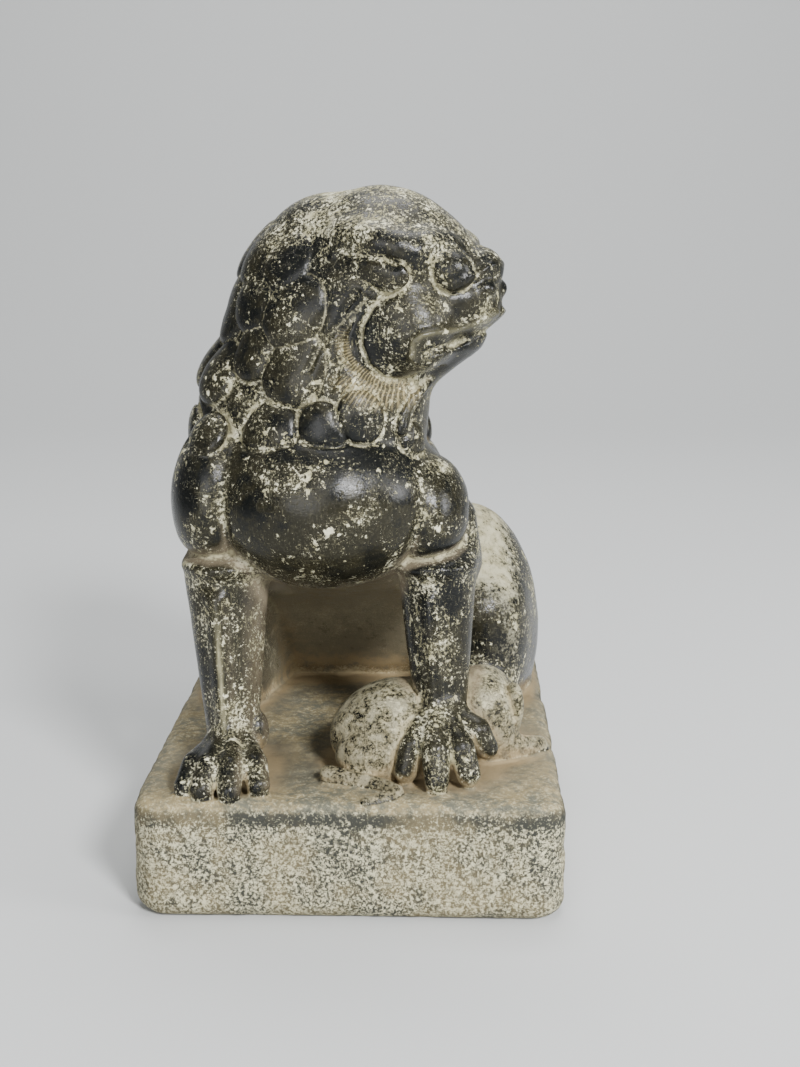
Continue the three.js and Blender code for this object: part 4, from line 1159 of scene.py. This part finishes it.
class STONELION_OT_carve(bpy.types.Operator):
    """Carve the lion and its slab as one piece of stone"""

    bl_idname = "stonelion.carve"
    bl_label = "Carve the lion"
    bl_options = {"REGISTER", "UNDO"}

    def execute(self, context):
        sizes = context.scene.stonelion_sizes
        carving = Carving(sizes)
        step = sizes.skin_step * 1000
        points, faces = raw_skin(carving, step)
        piece = bpy.data.objects.new("carved_lion", new_mesh("carved_lion", points, faces))
        context.scene.collection.objects.link(piece)
        mesh = thinned(piece, sizes.skin_triangles, fine_places(points))
        settled = settle(carving.worn_form, read_points(mesh))
        settled[:, 2] = np.maximum(settled[:, 2], SLAB_BOTTOM)
        settled = (settled + row(0, 0, RISE)) / 1000
        mesh.vertices.foreach_set("co", settled.ravel().astype(np.float32))
        smooth_shaded(mesh)
        describe_surface(mesh, carving)
        mesh.materials.clear()
        mesh.materials.append(stone_material(context.scene.stonelion_finish))
        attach(piece, "root")
        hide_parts("seated_lion")
        return {"FINISHED"}


def add_softbox(name, place, aim, size, power):
    lamp = bpy.data.lights.new(name, "AREA")
    lamp.shape = "DISK"
    lamp.size = size
    lamp.energy = power
    holder = bpy.data.objects.new(name, lamp)
    bpy.context.scene.collection.objects.link(holder)
    holder.location = place
    offset = np.array(aim) - np.array(place)
    flat = math.hypot(offset[0], offset[1])
    holder.rotation_euler = (math.atan2(flat, -offset[2]), 0, math.atan2(-offset[0], offset[1]))


def sweep_shape():
    """A floor that rises behind the piece in one long curve."""
    turns = np.linspace(0, math.pi / 2, 25)
    bend = np.stack([SWEEP_START + SWEEP_RADIUS * np.sin(turns), SWEEP_RADIUS * (1 - np.cos(turns))], -1)
    profile = np.concatenate([[(-SWEEP_REACH, 0)], bend, [(SWEEP_START + SWEEP_RADIUS, SWEEP_HEIGHT)]])
    points = [(x, y, z) for y, z in profile for x in (-SWEEP_REACH, SWEEP_REACH)]
    faces = [(2 * i, 2 * i + 1, 2 * i + 3, 2 * i + 2) for i in range(len(profile) - 1)]
    return np.array(points), np.array(faces)


def add_floor(colour):
    mesh = new_mesh("floor", *sweep_shape())
    smooth_shaded(mesh)
    mesh.materials.append(plain_material("pale_floor", colour, FLOOR_ROUGHNESS))
    floor = bpy.data.objects.new("floor", mesh)
    bpy.context.scene.collection.objects.link(floor)


def add_room(strength):
    room = bpy.data.worlds.new("room")
    room.use_nodes = True
    sky = room.node_tree.nodes["Background"]
    sky.inputs["Color"].default_value = ROOM_COLOUR
    sky.inputs["Strength"].default_value = strength
    bpy.context.scene.world = room


def add_camera(stage):
    camera = bpy.data.objects.new("camera", bpy.data.cameras.new("camera"))
    camera.data.lens = stage.lens
    camera.data.clip_start = NEAREST_SHOWN
    camera.location = (stage.camera_side, -stage.camera_distance, stage.camera_height)
    camera.rotation_euler = (math.pi / 2 - stage.camera_pitch, 0, stage.camera_turn)
    bpy.context.scene.collection.objects.link(camera)
    bpy.context.scene.camera = camera


class STONELION_OT_stage(bpy.types.Operator):
    """Set the floor, the lights and the camera"""

    bl_idname = "stonelion.stage"
    bl_label = "Set the stage"
    bl_options = {"REGISTER", "UNDO"}

    def execute(self, context):
        stage = context.scene.stonelion_stage
        add_floor(stage.floor_colour)
        for name, place, aim, size in LAMPS:
            add_softbox(name + "_light", place, aim, size, getattr(stage, name + "_power"))
        add_room(stage.room_light)
        add_camera(stage)
        return {"FINISHED"}


class STONELION_PT_panel(bpy.types.Panel):
    """Lists the steps that make the lion"""

    bl_idname = "STONELION_PT_panel"
    bl_label = "Stone Lion"
    bl_space_type = "VIEW_3D"
    bl_region_type = "UI"
    bl_category = "Stone Lion"

    def draw(self, context):
        scene = context.scene
        groups = (scene.stonelion_sizes, scene.stonelion_finish, scene.stonelion_stage)
        for group in groups:
            box = self.layout.box()
            for name in group.__annotations__:
                box.prop(group, name)
        self.layout.operator(STONELION_OT_carve.bl_idname)
        self.layout.operator(STONELION_OT_stage.bl_idname)


CLASSES = (LionSizes, StoneFinish, StageSettings,
           STONELION_OT_carve, STONELION_OT_stage, STONELION_PT_panel)


def register():
    for kind in CLASSES:
        bpy.utils.register_class(kind)
    bpy.types.Scene.stonelion_sizes = PointerProperty(type=LionSizes)
    bpy.types.Scene.stonelion_finish = PointerProperty(type=StoneFinish)
    bpy.types.Scene.stonelion_stage = PointerProperty(type=StageSettings)


def unregister():
    del bpy.types.Scene.stonelion_stage
    del bpy.types.Scene.stonelion_finish
    del bpy.types.Scene.stonelion_sizes
    for kind in reversed(CLASSES):
        bpy.utils.unregister_class(kind)


def main():
    register()
    bpy.ops.stonelion.carve()
    bpy.ops.stonelion.stage()


if __name__ == "__main__":
    main()
